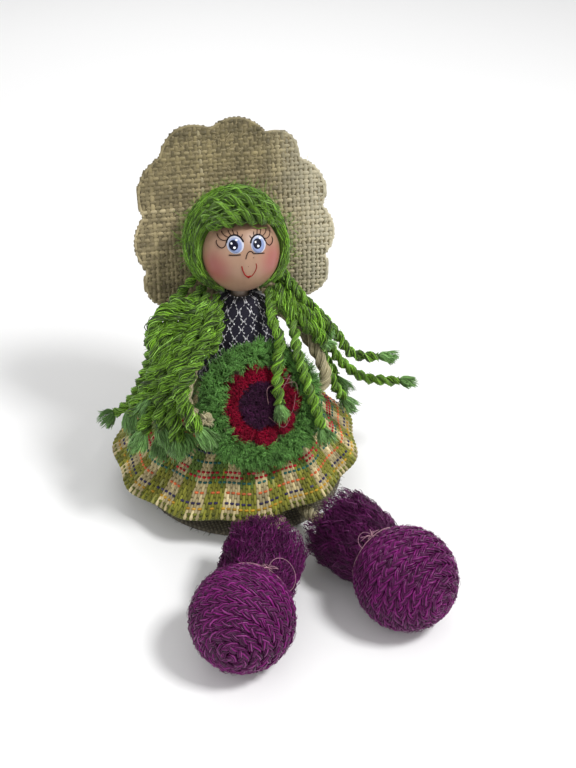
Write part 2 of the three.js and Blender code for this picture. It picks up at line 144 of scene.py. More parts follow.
HEAD_RADIUS = 20 * MM
HEAD = (
    Matrix.Translation((1 * MM, 5 * MM, 138 * MM))
    @ Matrix.Rotation(math.radians(-8), 4, "Z")
    @ Matrix.Rotation(math.radians(-20), 4, "X")
)
FLOWER = Matrix.Translation((-2 * MM, -40.5 * MM, 74.5 * MM)) @ Matrix.Rotation(math.radians(60), 4, "X")

PLAITS = {
    "plait_left_front": [
        (14, -3, 119), (12, -12, 114), (10, -22, 110), (11, -29, 104), (8, -34, 94),
        (6, -41, 83), (6, -47, 71),
    ],
    "plait_left_flower": [
        (18, -2, 119), (20, -14, 111), (20, -25, 105), (19, -32, 98), (21, -38, 87),
        (24, -46, 73), (27, -55, 57),
    ],
    "plait_left_upper": [
        (22, 2, 124), (29, -12, 115), (40, -11, 101), (48, -14, 90), (55, -17, 79),
        (65, -20, 76), (78, -25, 77),
    ],
    "plait_left_side": [
        (20, 4, 119), (30, -6, 108), (39, -7, 90), (42, -14, 74), (46, -21, 61),
        (54, -22, 47),
    ],
    "plait_left_lower": [
        (24, 6, 122), (34, 0, 105), (45, -1, 84), (54, -5, 67), (65, -11, 57),
        (77, -15, 54), (91, -20, 54),
    ],
    "plait_left_back": [
        (22, 9, 118), (31, 8, 100), (39, 7, 82), (48, 2, 66), (57, -4, 48),
    ],
    "plait_right_outer": [
        (-20.5, 12, 123), (-34, 10, 111), (-45, 10, 99), (-47, 8, 86), (-51, 9, 71),
        (-58, 10, 56), (-66, 12, 47), (-77, 15, 42),
    ],
    "plait_right_side": [
        (-20.5, 3.5, 121.5), (-32, -2, 104), (-39, -3, 88), (-46, -2, 73), (-53, -3, 60),
        (-61, -8, 45),
    ],
    "plait_right_lower": [
        (-17.5, 8, 119.5), (-26, 8, 98), (-33, 6, 80), (-40, -1, 65), (-46, -12, 55),
        (-51, -25, 45),
    ],
    "plait_right_long": [
        (-18, -0.5, 120.5), (-26, -9, 107), (-33, -8, 93), (-38, -11, 77), (-43, -24, 66),
        (-41, -40, 58),
    ],
    "plait_right_inner": [
        (-13, 0, 118.5), (-16, -14, 108), (-22, -20, 99), (-31, -24, 99),
    ],
}
HANKS = [
    [(-23, 2, 116), (-36, 0, 115), (-45, -4, 112), (-49, -8, 103), (-48, -12, 93), (-53, -14, 82),
     (-60, -16, 73), (-67, -18, 62)],
    [(-22, 0, 117), (-29, -4, 110), (-36, -8, 103), (-41, -13, 95), (-45, -17, 86), (-51, -20, 76),
     (-58, -24, 67), (-64, -28, 56)],
    [(-20, -2, 116), (-25, -9, 110), (-31, -16, 103), (-36, -22, 98), (-41, -27, 90), (-46, -31, 80),
     (-47, -35, 69), (-45, -40, 55)],
    [(-17, -4, 117), (-19, -12, 113), (-24, -20, 108), (-30, -27, 103), (-37, -34, 99), (-43, -38, 91),
     (-41, -44, 80), (-34, -50, 68)],
    [(-22, 1, 116), (-33, -2, 112), (-40, -6, 107), (-44, -11, 101), (-46, -15, 91), (-51, -18, 81),
     (-59, -21, 72)],
    [(-21, -1, 116), (-28, -8, 105), (-36, -17, 99), (-42, -22, 92), (-49, -26, 84), (-52, -30, 73),
     (-52, -34, 60)],
    [(17, -3, 119), (22, -13, 114), (28, -16, 109), (35, -16, 103), (41, -15, 97), (46, -16, 90)],
    [(15, -4, 118), (20, -15, 112), (26, -20, 106), (32, -21, 100), (37, -21, 93), (40, -22, 87)],
]
ARMS = {
    "right": [
        (-12, 2, 107), (-21, -7, 101), (-30.5, -20, 93), (-38, -31, 87.5),
        (-41, -39.8, 80.8), (-36.5, -42.3, 78.3),
    ],
    "left": [
        (14, 2, 107), (25, -6, 100), (32, -15, 91), (36, -24, 82),
        (36, -30.2, 75.2), (30, -30.7, 68.2),
    ],
}
LEGS = {
    "right": {"ball": (-40.8, -127.4), "toe_out": -32, "reach": 23.6},
    "left": {"ball": (41.5, -127.8), "toe_out": 18.7, "reach": 17.2},
}


# Materials

def shader(name, roughness=0.6, sheen=0.0, specular=0.4):
    """An empty material with its nodes, links, surface shader and object coordinates."""
    material = bpy.data.materials.new(name)
    material.use_nodes = True
    nodes, links = material.node_tree.nodes, material.node_tree.links
    surface = nodes["Principled BSDF"]
    surface.inputs["Roughness"].default_value = roughness
    surface.inputs["Sheen Weight"].default_value = sheen
    surface.inputs["Specular IOR Level"].default_value = specular
    place = nodes.new("ShaderNodeTexCoord")
    return material, nodes, links, surface, place


def ramp(nodes, links, source, stops):
    """A colour ramp from a 0 to 1 value; stops are (position, colour)."""
    made = nodes.new("ShaderNodeValToRGB")
    elements = made.color_ramp.elements
    while len(elements) < len(stops):
        elements.new(0.5)
    for element, (position, shade) in zip(elements, stops):
        element.position = position
        element.color = (*shade, 1)
    links.new(source, made.inputs["Fac"])
    return made.outputs["Color"]


def noise(nodes, links, place, scale, detail=3.0, stretch=(1, 1, 1)):
    """Noise on object coordinates; scale is per metre."""
    mapping = nodes.new("ShaderNodeMapping")
    mapping.inputs["Scale"].default_value = stretch
    links.new(place, mapping.inputs["Vector"])
    made = nodes.new("ShaderNodeTexNoise")
    made.inputs["Scale"].default_value = scale
    made.inputs["Detail"].default_value = detail
    links.new(mapping.outputs["Vector"], made.inputs["Vector"])
    return made.outputs["Fac"]


def mix(nodes, links, share, first, second, way="MIX"):
    made = nodes.new("ShaderNodeMix")
    made.data_type = "RGBA"
    made.blend_type = way
    for socket, value in zip((made.inputs[0], made.inputs[6], made.inputs[7]), (share, first, second)):
        if isinstance(value, bpy.types.NodeSocket):
            links.new(value, socket)
        elif isinstance(value, (int, float)):
            socket.default_value = value
        else:
            socket.default_value = (*value, 1)
    return made.outputs[2]


def bump(nodes, links, surface, height, distance, strength=0.6):
    made = nodes.new("ShaderNodeBump")
    made.inputs["Strength"].default_value = strength
    made.inputs["Distance"].default_value = distance
    links.new(height, made.inputs["Height"])
    links.new(made.outputs["Normal"], surface.inputs["Normal"])


def shaded(base, share):
    """A colour made darker (share under 1) or lighter (over 1)."""
    return tuple(min(1.0, value * share) for value in base)


def fibre_material(name, base, contrast=0.55, roughness=0.5, sheen=0.1, pale=0.12):
    """Dyed plant fibre: each fibre has its own shade, with paler and darker stretches."""
    material, nodes, links, surface, place = shader(name, roughness, sheen, 0.3)
    island = nodes.new("ShaderNodeNewGeometry").outputs["Random Per Island"]
    # The last stop is lifted by pale: a painted highlight on the palest fibres, over their own random tone.
    own = ramp(nodes, links, island, [
        (0.0, shaded(base, 1 - contrast)), (0.35, shaded(base, 0.85)),
        (0.72, shaded(base, 1.12)), (0.93, shaded(base, 1 + contrast)),
        (1.0, tuple(min(1.0, part * (1 + contrast) + pale) for part in base[:3])),
    ])
    patches = noise(nodes, links, place.outputs["Object"], 130)
    shade = ramp(nodes, links, patches, [(0.3, (0.55, 0.55, 0.55)), (0.68, (1, 1, 1))])
    links.new(mix(nodes, links, 1.0, own, shade, "MULTIPLY"), surface.inputs["Base Color"])
    grain = noise(nodes, links, place.outputs["Object"], 2600, 2.0)
    bump(nodes, links, surface, grain, 0.12 * MM, 0.5)
    return material


def cloth_material(name, base, pitch=0.8 * MM, roughness=0.85):
    """Plain woven cloth: two crossed waves for the threads, with soft patches of shade."""
    material, nodes, links, surface, place = shader(name, roughness, 0.15, 0.25)
    heights = []
    for axis in ("X", "Y"):
        wave = nodes.new("ShaderNodeTexWave")
        wave.bands_direction = axis
        wave.inputs["Scale"].default_value = 0.314 / pitch
        wave.inputs["Distortion"].default_value = 0.8
        links.new(place.outputs["Object"], wave.inputs["Vector"])
        heights.append(wave.outputs["Fac"])
    threads = nodes.new("ShaderNodeMath")
    threads.operation = "MULTIPLY"
    links.new(heights[0], threads.inputs[0])
    links.new(heights[1], threads.inputs[1])
    weave = ramp(nodes, links, threads.outputs[0], [(0.0, shaded(base, 0.55)), (0.5, shaded(base, 1.15))])
    patches = noise(nodes, links, place.outputs["Object"], 90)
    shade = ramp(nodes, links, patches, [(0.3, (0.75, 0.75, 0.75)), (0.7, (1, 1, 1))])
    links.new(mix(nodes, links, 1.0, weave, shade, "MULTIPLY"), surface.inputs["Base Color"])
    bump(nodes, links, surface, threads.outputs[0], pitch / 3, 0.7)
    return material


def skin_material(name, skin, cheek, blushes):
    """Satin painted wood with a soft blush round each cheek point, in object coordinates."""
    material, nodes, links, surface, place = shader(name, 0.42, 0.0, 0.45)
    grain = noise(nodes, links, place.outputs["Object"], 260, 4.0, (1, 1, 0.25))
    shade = ramp(nodes, links, grain, [(0.3, shaded(skin, 0.93)), (0.7, shaded(skin, 1.04))])
    for point in blushes:
        away = nodes.new("ShaderNodeVectorMath")
        away.operation = "DISTANCE"
        away.inputs[1].default_value = point
        links.new(place.outputs["Object"], away.inputs[0])
        fade = nodes.new("ShaderNodeMapRange")
        fade.interpolation_type = "SMOOTHSTEP"
        fade.inputs["From Min"].default_value = 2 * MM
        fade.inputs["From Max"].default_value = 13 * MM
        fade.inputs["To Min"].default_value = 0.8
        fade.inputs["To Max"].default_value = 0.0
        links.new(away.outputs["Value"], fade.inputs["Value"])
        shade = mix(nodes, links, fade.outputs["Result"], shade, cheek)
    links.new(shade, surface.inputs["Base Color"])
    bump(nodes, links, surface, grain, 0.05 * MM, 0.25)
    return material


def painted_light_and_shade(material, axis, low, high, tone, share):
    """Painted light and shade: blends a material's colour toward a tone along an axis of the doll, between two places
    in metres.
    """
    nodes, links = material.node_tree.nodes, material.node_tree.links
    target = nodes["Principled BSDF"].inputs["Base Color"]
    source = target.links[0].from_socket
    place = nodes.new("ShaderNodeTexCoord")
    parts = nodes.new("ShaderNodeSeparateXYZ")
    links.new(place.outputs["Object"], parts.inputs[0])
    fade = nodes.new("ShaderNodeMapRange")
    fade.interpolation_type = "SMOOTHSTEP"
    for socket, value in (("From Min", low), ("From Max", high), ("To Min", 0.0), ("To Max", share)):
        fade.inputs[socket].default_value = value
    links.new(parts.outputs[axis], fade.inputs["Value"])
    way = "MULTIPLY" if share == 1 else "MIX"
    links.new(mix(nodes, links, fade.outputs["Result"], source, tone, way), target)


def paint_material(name, base, roughness=0.5):
    """A stroke of paint, a little uneven."""
    material, nodes, links, surface, place = shader(name, roughness, 0.0, 0.15)
    uneven = noise(nodes, links, place.outputs["Object"], 900)
    shade = ramp(nodes, links, uneven, [(0.3, shaded(base, 0.88)), (0.7, shaded(base, 1.05))])
    links.new(shade, surface.inputs["Base Color"])
    return material


# Routes and frames along them

def metres(route):
    return [Vector(point) * MM for point in route]


def even(points, step):
    """Points about a step apart on a smooth curve through the given ones."""
    dense = []
    last = len(points) - 1
    for i in range(last):
        before, start = points[max(i - 1, 0)], points[i]
        end, after = points[i + 1], points[min(i + 2, last)]
        for k in range(16):
            t = k / 16
            dense.append(0.5 * (
                2 * start + (end - before) * t
                + (2 * before - 5 * start + 4 * end - after) * t * t
                + (3 * start - before - 3 * end + after) * t ** 3
            ))
    dense.append(points[-1].copy())
    total = sum((b - a).length for a, b in zip(dense, dense[1:]))
    count = max(2, round(total / step))
    spacing, found, run = total / count, [dense[0]], 0.0
    for a, b in zip(dense, dense[1:]):
        span = (b - a).length
        while span > 0 and run + span >= spacing * len(found) and len(found) < count:
            found.append(a.lerp(b, (spacing * len(found) - run) / span))
        run += span
    found.append(dense[-1])
    return found


def carried(points, first=None):
    """The two directions square to the route at each point, carried along without twist."""
    ways = []
    for i in range(len(points)):
        ways.append((points[min(i + 1, len(points) - 1)] - points[max(i - 1, 0)]).normalized())
    side = (first or ways[0].orthogonal()).normalized()
    found = []
    for i, way in enumerate(ways):
        if i:
            side = ways[i - 1].rotation_difference(way) @ side
        side = (side - way * side.dot(way)).normalized()
        found.append((side, way.cross(side)))
    return found


def wander(rng, size, waves=(0.8, 1.7, 3.1)):
    """A smooth random wobble of a share of the way along."""
    parts = [(rng.uniform(-1, 1), wave * rng.uniform(0.7, 1.4), rng.uniform(0, TURN)) for wave in waves]
    return lambda share: size * sum(a * math.sin(TURN * w * share + p) for a, w, p in parts) / len(parts)


def cord_strands(points, plies, spread, strand, lay, fibres, rng, taper=None, turn=0.0):
    """Each ply's middle line and its fibres' lines, for a cord twisted round its route."""
    sides = carried(points)
    step = (points[1] - points[0]).length
    taper = taper or (lambda share: 1.0)
    middles, lines = [], []
    for ply in range(plies):
        offset = TURN * ply / plies + turn
        middle = []
        for j, point in enumerate(points):
            side, up = sides[j]
            angle = offset + TURN * j * step / lay
            size = spread * taper(j / (len(points) - 1))
            middle.append(point + size * (math.cos(angle) * side + math.sin(angle) * up))
        middles.append(middle)
        for k in range(fibres):
            around = TURN * k / fibres + rng.uniform(-0.2, 0.2)
            out = strand * rng.uniform(0.78, 1.02)
            sway, drift = wander(rng, strand * 0.28), wander(rng, 0.9)
            line = []
            for j, centre in enumerate(middle):
                share = j / (len(points) - 1)
                side, up = sides[j]
                angle = offset + TURN * j * step / lay
                radial = math.cos(angle) * side + math.sin(angle) * up
                across = math.cos(angle) * up - math.sin(angle) * side
                own = around + drift(share) + 1.2 * share
                size = (out + sway(share)) * taper(share)
                line.append(centre + size * (math.cos(own) * radial + math.sin(own) * across))
            lines.append(line)
    return middles, lines


# Making pieces

def finish_piece(name, mesh, material, body, nodes=(), smooth=True):
    """Puts a mesh in the scene as a piece of the doll; one given no body stays unattached."""
    mesh.name = name
    mesh.materials.clear()
    mesh.materials.append(material)
    for face in mesh.polygons:
        face.use_smooth = smooth
    piece = bpy.data.objects.new(name, mesh)
    bpy.context.scene.collection.objects.link(piece)
    if body:
        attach(piece, body)
    if nodes:
        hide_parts(*nodes)
    return piece


def three_sides():
    """The cross-section of a fine fibre: a triangle about 1 in radius."""
    data = bpy.data.curves.new("section", "CURVE")
    data.dimensions = "3D"
    spline = data.splines.new("POLY")
    spline.points.add(2)
    spline.use_cyclic_u = True
    for k, point in enumerate(spline.points):
        point.co = (1.1 * math.cos(TURN * k / 3), -1.1 * math.sin(TURN * k / 3), 0, 1)
    section = bpy.data.objects.new("section", data)
    bpy.context.scene.collection.objects.link(section)
    return section


def fibres_mesh(lines, radius, roundness=0, ends=0.35):
    """A mesh of many capped tubes; each line is its points, and tubes thin out at both ends."""
    data = bpy.data.curves.new("fibres", "CURVE")
    data.dimensions = "3D"
    section = None
    if roundness:
        data.bevel_depth = 1.0
        data.bevel_resolution = roundness
    else:
        section = three_sides()
        data.bevel_mode = "OBJECT"
        data.bevel_object = section
    data.use_fill_caps = True
    for line in lines:
        size = radius(line) if callable(radius) else radius
        spline = data.splines.new("POLY")
        spline.points.add(len(line) - 1)
        spline.points.foreach_set("co", [value for point in line for value in (*point, 1.0)])
        radii = [size] * len(line)
        radii[0] = radii[-1] = size * ends
        spline.points.foreach_set("radius", radii)
    holder = bpy.data.objects.new("fibres", data)
    bpy.context.scene.collection.objects.link(holder)
    bpy.context.view_layer.update()
    mesh = bpy.data.meshes.new_from_object(holder.evaluated_get(bpy.context.evaluated_depsgraph_get()))
    bpy.data.objects.remove(holder)
    bpy.data.curves.remove(data)
    if section:
        outline = section.data
        bpy.data.objects.remove(section)
        bpy.data.curves.remove(outline)
    work = bmesh.new()
    work.from_mesh(mesh)
    bmesh.ops.remove_doubles(work, verts=work.verts, dist=1e-7)
    work.to_mesh(mesh)
    work.free()
    return mesh


def revolved(profile, segments=96):
    """A closed body turned about Z from (radius, height) points that start and end on the axis."""
    work = bmesh.new()
    rim = [work.verts.new((radius, 0, height)) for radius, height in profile]
    edges = [work.edges.new(pair) for pair in zip(rim, rim[1:])]
    bmesh.ops.spin(
        work, geom=rim + edges, axis=(0, 0, 1), cent=(0, 0, 0), angle=TURN, steps=segments, use_merge=True
    )
    bmesh.ops.remove_doubles(work, verts=work.verts, dist=1e-6)
    bmesh.ops.recalc_face_normals(work, faces=work.faces)
    return work


def to_mesh(work, name):
    mesh = bpy.data.meshes.new(name)
    work.to_mesh(mesh)
    work.free()
    return mesh


def moved(mesh, change):
    """Moves each vertex by a function of its place."""
    for vertex in mesh.vertices:
        vertex.co = change(vertex.co)
    return mesh


def blended(table, at):
    """A smooth value between the points of a table of (place, value)."""
    for (x0, y0), (x1, y1) in zip(table, table[1:]):
        if at <= x1:
            share = max(0.0, (at - x0) / (x1 - x0))
            return y0 + (y1 - y0) * share * share * (3 - 2 * share)
    return table[-1][1]


# Base and stuffed body

LEAN = Vector((1 * MM, 5 * MM, 0))
WAIST = 71 * MM
CORE_TOP = 113.5 * MM
CORE_RADIUS = 47 * MM
WAIST_RADIUS = 23 * MM
LOWER_SHARES = [(0, 0.9), (0.1, 0.99), (0.28, 1), (0.46, 0.93), (0.66, 0.75), (0.85, 0.58)]
UPPER_SHARES = [(0, 1), (0.22, 0.98), (0.57, 0.79), (0.82, 0.58), (0.96, 0.36), (1, 0.2)]


def leaning(point):
    share = min(1.0, max(0.0, (point.z - WAIST) / (CORE_TOP - WAIST)))
    return point + LEAN * share


class DOLL_OT_base(bpy.types.Operator):
    """Make the burlap base disc and the stuffed body"""
    bl_idname = "doll.make_base"
    bl_label = "Base and stuffed body"

    def execute(self, context):
        low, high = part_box("base_disc")
        radius, edge = high.x, 0.8 * MM
        profile = [(0, 0), (radius - edge, 0), (radius, edge)]
        profile += [(radius, high.z - edge), (radius - edge, high.z), (0, high.z)]
        disc = to_mesh(revolved(profile, 128), "base")
        cloth = cloth_material("base_burlap", colours().base, 1.9 * MM)
        finish_piece("base_cover", disc, cloth, "torso", ["base_disc"])
        rng = random.Random(4)
        lines = []
        for _ in range(260):
            turn = rng.uniform(0, TURN)
            start = Vector((radius * math.cos(turn), radius * math.sin(turn), rng.uniform(0.4, 2.8) * MM))
            out = Vector((math.cos(turn + rng.uniform(-1, 1)), math.sin(turn + rng.uniform(-1, 1)), 0))
            tip = start + out * rng.uniform(0.8, 2.6) * MM + Vector((0, 0, rng.uniform(-0.3, 0.8) * MM))
            tip.z = max(tip.z, 0.2 * MM)
            lines.append([start - out * MM, start.lerp(tip, 0.5) + Vector((0, 0, 0.3 * MM)), tip])
        fray = fibre_material("base_fray", colours().base, 0.4, 0.7)
        finish_piece("base_fray", fibres_mesh(lines, 0.11 * MM), fray, "torso", ())
        return self.stuffed()

    def stuffed(self):
        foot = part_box("body_core")[0].z
        profile = [(0, foot)]
        profile += [(CORE_RADIUS * wide, foot + (WAIST - foot) * up) for up, wide in LOWER_SHARES]
        profile += [(WAIST_RADIUS * wide, WAIST + (CORE_TOP - WAIST) * up) for up, wide in UPPER_SHARES]
        profile += [(0, CORE_TOP)]
        body = moved(to_mesh(revolved(profile, 72), "stuffed"), leaning)
        cloth = cloth_material("body_cotton", dye(198, 188, 162), 0.7 * MM)
        piece = finish_piece("stuffed_body", body, cloth, "torso", ["body_core"])
        return {"FINISHED"}


class DOLL_OT_bodice(bpy.types.Operator):
    """Make the dark bodice with its lattice of pale stitches"""
    bl_idname = "doll.make_bodice"
    bl_label = "Bodice"

    thick = 1.2 * MM
    clear = 0.3 * MM

    def radius_at(self, share):
        return WAIST_RADIUS * blended(UPPER_SHARES, share) + self.clear + self.thick

    def spot(self, turn, share, lift=0.0):
        """A point on the bodice, lifted off its surface."""
        radius = self.radius_at(share) + lift
        height = WAIST + (CORE_TOP - WAIST + self.thick + self.clear) * share
        return leaning(Vector((radius * math.cos(turn), radius * math.sin(turn), height)))

    def execute(self, context):
        steps = 26
        outer = [(self.radius_at(i / steps), WAIST + 0.3 * MM + (CORE_TOP - WAIST + 1.2 * MM) * i / steps)
                 for i in range(steps + 1)]
        inner = [(radius - self.thick, height - (self.thick if i == steps else 0))
                 for i, (radius, height) in enumerate(outer)]
        work = bmesh.new()
        rim = [work.verts.new((radius, 0, height)) for radius, height in outer + inner[::-1]]
        edges = [work.edges.new((rim[i], rim[(i + 1) % len(rim)])) for i in range(len(rim))]
        bmesh.ops.spin(
            work, geom=rim + edges, axis=(0, 0, 1), cent=(0, 0, 0), angle=TURN, steps=96, use_merge=True
        )
        bmesh.ops.remove_doubles(work, verts=work.verts, dist=1e-6)
        bmesh.ops.recalc_face_normals(work, faces=work.faces)
        mesh = moved(to_mesh(work, "bodice"), leaning)
        cloth = cloth_material("bodice_cloth", colours().bodice, 0.75 * MM)
        piece = finish_piece("bodice_cloth", mesh, cloth, "torso", ["bodice"])
        stitches = self.stitches()
        return {"FINISHED"}

    def stitches(self):
        """Pale woven clusters in a half drop lattice: two upright stitches tied by slanting ones."""
        rng = random.Random(11)
        tall_all = CORE_TOP - WAIST
        rows, lines = 12, []
        for row in range(rows):
            share = (row + 0.6) / rows
            radius = self.radius_at(share)
            count = round(TURN * radius / (6.0 * MM))
            for k in range(count):
                turn = TURN * (k + 0.5 * (row % 2)) / count

                def line(points):
                    return [
                        self.spot(turn + (x + rng.uniform(-0.08, 0.08)) * MM / radius,
                                  min(0.995, max(0.0, share + z * MM / tall_all)), lift * MM)
                        for x, z, lift in points
                    ]
                lines.append(line([(-0.6, 0.1, 0), (0, 0, 0.2), (0.6, -0.1, 0)]))
                for side in (-1, 1):
                    lines.append(line([(side * 0.6, -0.9, -0.1), (side * 0.5, 0, 0.25), (side * 0.6, 0.9, -0.1)]))
                    for up in (-1, 1):
                        lines.append(line([(side * 0.7, up * 0.8, -0.1), (side * 1.15, up * 1.15, 0.25),
                                           (side * 1.55, up * 1.6, -0.1)]))
        pale = fibre_material("bodice_fleck", colours().fleck, 0.25, 0.6)
        return finish_piece("bodice_flecks", fibres_mesh(lines, 0.4 * MM), pale, "torso", ())


# Skirt

SKIRT_WAIST = 25 * MM
HEM_RADIUS = 67.5 * MM
HEM_HEIGHT = 18.5 * MM
HEM_SHIFT = Vector((-3.1 * MM, 1 * MM, 0))
HEM_TILT = 2.4 * MM
HEM_LIFT = 4 * MM
FOLD_DEPTH = 1.5 * MM
FOLDS = 11


def skirt_spot(turn, down, lift=0.0):
    """A point on the skirt's outer face at a turn and a share of the way down, lifted off it."""
    def raw(angle, share):
        out = 0.62 * share + 0.38 * share ** 2.2
        radius = SKIRT_WAIST + (HEM_RADIUS - SKIRT_WAIST) * out
        radius += FOLD_DEPTH * share * math.cos(FOLDS * angle)
        rise = HEM_LIFT * max(0.0, math.cos(angle - math.radians(-95))) ** 2 + HEM_TILT * math.cos(angle)
        height = WAIST + (HEM_HEIGHT + rise - WAIST) * share
        return Vector((radius * math.cos(angle), radius * math.sin(angle), height)) + HEM_SHIFT * share ** 2
    point = raw(turn, down)
    if lift == 0.0:
        return point
    along = raw(turn + 0.01, down) - point
    fall = raw(turn, down + 0.01) - point
    return point + lift * fall.cross(along).normalized()


class DOLL_OT_skirt(bpy.types.Operator):
    """Make the stiff woven skirt: its cloth, its floats in a brick pattern and its weft rows"""
    bl_idname = "doll.make_skirt"
    bl_label = "Skirt"

    def execute(self, context):
        work = bmesh.new()
        columns, rows = 264, 36
        bmesh.ops.create_grid(work, x_segments=columns, y_segments=rows, size=0.5)
        for vertex in work.verts:
            turn, down = TURN * (vertex.co.x + 0.5), 0.5 - vertex.co.y
            vertex.co = skirt_spot(turn, down, -0.35 * MM)
        bmesh.ops.remove_doubles(work, verts=work.verts, dist=1e-6)
        bmesh.ops.recalc_face_normals(work, faces=work.faces)
        middle = Vector((0, 0, 0.04))
        outward = sum(face.normal.dot(face.calc_center_median() - middle) for face in work.faces)
        if outward < 0:
            bmesh.ops.reverse_faces(work, faces=work.faces)
        bmesh.ops.solidify(work, geom=work.faces[:], thickness=0.9 * MM)
        bmesh.ops.recalc_face_normals(work, faces=work.faces)
        ground = cloth_material("skirt_ground", dye(128, 132, 62), 1.1 * MM)
        cloth = finish_piece("skirt_cloth", to_mesh(work, "skirt"), ground, "torso", ["skirt"])
        floats = self.floats()
        return {"FINISHED"}

    def floats(self):
        """Warp floats two rows long, set off by a row in every other column, over coloured weft."""
        rng = random.Random(21)
        columns, rows = sizes().skirt_columns, sizes().skirt_rows
        repeat = 12
        groups = {"cream": [], "lime": [], "moss": []}
        wefts = {"red": [], "navy": [], "orange": [], "teal": [], "mustard": [], "olive": []}
        bands = {
            1: "olive", 2: "mustard", 3: "navy", 5: "orange", 7: "teal", 8: "red", 9: "red", 11: "teal",
            13: "navy", 15: "orange", 17: "red", 19: "teal",
        }
        for column in range(columns):
            turn = TURN * (column + 0.5) / columns
            place = column % repeat
            pale = place < 6 and not (place == 5 and column % 24 < 12)
            for row in range(column % 2, rows, 2):
                top = (rows - row - 2) / rows
                bottom = (rows - row) / rows
                if bottom <= 0.02:
                    continue
                spread = TURN / columns * HEM_RADIUS
                shift = rng.uniform(-0.12, 0.12) * TURN / columns
                top = max(0.004, top + 0.004)
                bottom = min(0.998, bottom - 0.001)
                line = []
                for t, lift in ((0, -0.5), (0.14, -0.02), (0.5, 0.12), (0.86, -0.02), (1, -0.5)):
                    down = top + (bottom - top) * t
                    line.append(skirt_spot(turn + shift * t, down, lift * MM * rng.uniform(0.8, 1.2)))
                name = "cream" if pale else ("lime" if row < 7 + rng.uniform(-2, 2) else "moss")
                groups[name].append((line, bottom, spread))
                weft = bands.get(row)
                if weft and (pale or rng.random() < 0.55):
                    wefts[weft].append([
                        skirt_spot(turn - 0.62 * TURN / columns, bottom, 0.5 * MM),
                        skirt_spot(turn, min(1.0, bottom + 0.002), 0.85 * MM),
                        skirt_spot(turn + 0.62 * TURN / columns, bottom, 0.5 * MM),
                    ])
        pieces = []
        wide = TURN * HEM_RADIUS / columns * 0.6
        for name, entries in groups.items():
            sizes_of = {id(line): wide * (0.42 + 0.58 * bottom) for line, bottom, _ in entries}
            mesh = fibres_mesh([line for line, _, _ in entries], lambda line: sizes_of[id(line)], 1, 0.6)
            material = fibre_material(f"skirt_{name}", getattr(colours(), name), 0.3, 0.7)
            pieces.append(finish_piece(f"skirt_floats_{name}", mesh, material, "torso", ()))
        tones = {
            "red": dye(196, 26, 40), "navy": dye(48, 42, 86), "orange": dye(232, 116, 62),
            "teal": dye(44, 104, 96), "mustard": dye(206, 158, 40), "olive": dye(110, 116, 30),
        }
        for name, lines in wefts.items():
            material = fibre_material(f"skirt_weft_{name}", tones[name], 0.2, 0.6)
            mesh = fibres_mesh(lines, 0.7 * MM, 1, 0.85)
            pieces.append(finish_piece(f"skirt_weft_{name}", mesh, material, "torso", ()))
        return pieces


# Hat

HAT_RADIUS = 53.5 * MM
HAT_RISE = 10 * MM
HAT_ASIDE = 3 * MM
HAT_LEVEL = 25 * MM
HAT_FLAT = 10 * MM
HAT_CURL = 13 * MM
NOTCH_TURNS = [-23.6, 6.6, 41.6, 68.8, 101.9, 135.6, 171.9, 203.2, 232, 270, 308]
NOTCH_SHARES = [0.95, 0.866, 0.873, 0.91, 0.942, 0.98, 0.911, 0.99, 1.02, 0.96, 1.03]
LOBE_SHARES = [0.981, 0.951, 0.988, 1.007, 1.068, 1.02, 1.015, 1.12, 1.05, 1.05, 1.105]


def scallops(steps=12):
    """The hat's outline in its own plane, with its middle at 0."""
    def spot(turn, share):
        return Vector((math.cos(math.radians(turn)), math.sin(math.radians(turn)))) * HAT_RADIUS * share
    notches = [spot(turn, share) for turn, share in zip(NOTCH_TURNS, NOTCH_SHARES)]
    outline = []
    for i, start in enumerate(notches):
        end = notches[(i + 1) % len(notches)]
        span = (NOTCH_TURNS[(i + 1) % len(notches)] - NOTCH_TURNS[i]) % 360
        pull = 2 * spot(NOTCH_TURNS[i] + span / 2, LOBE_SHARES[i]) - (start + end) / 2
        for k in range(steps):
            t = k / steps
            outline.append(start * (1 - t) ** 2 + pull * 2 * t * (1 - t) + end * t * t)
    return outline


def hat_bend(point):
    """From the hat's plane, x across, z up and y off its face, to the doll."""
    drop = max(0.0, -point.z - HAT_FLAT) / (HAT_RADIUS - HAT_FLAT)
    back = HAT_LEVEL + point.y + HAT_CURL * drop ** 2
    return HEAD @ Vector((point.x + HAT_ASIDE, back, point.z + HAT_RISE))


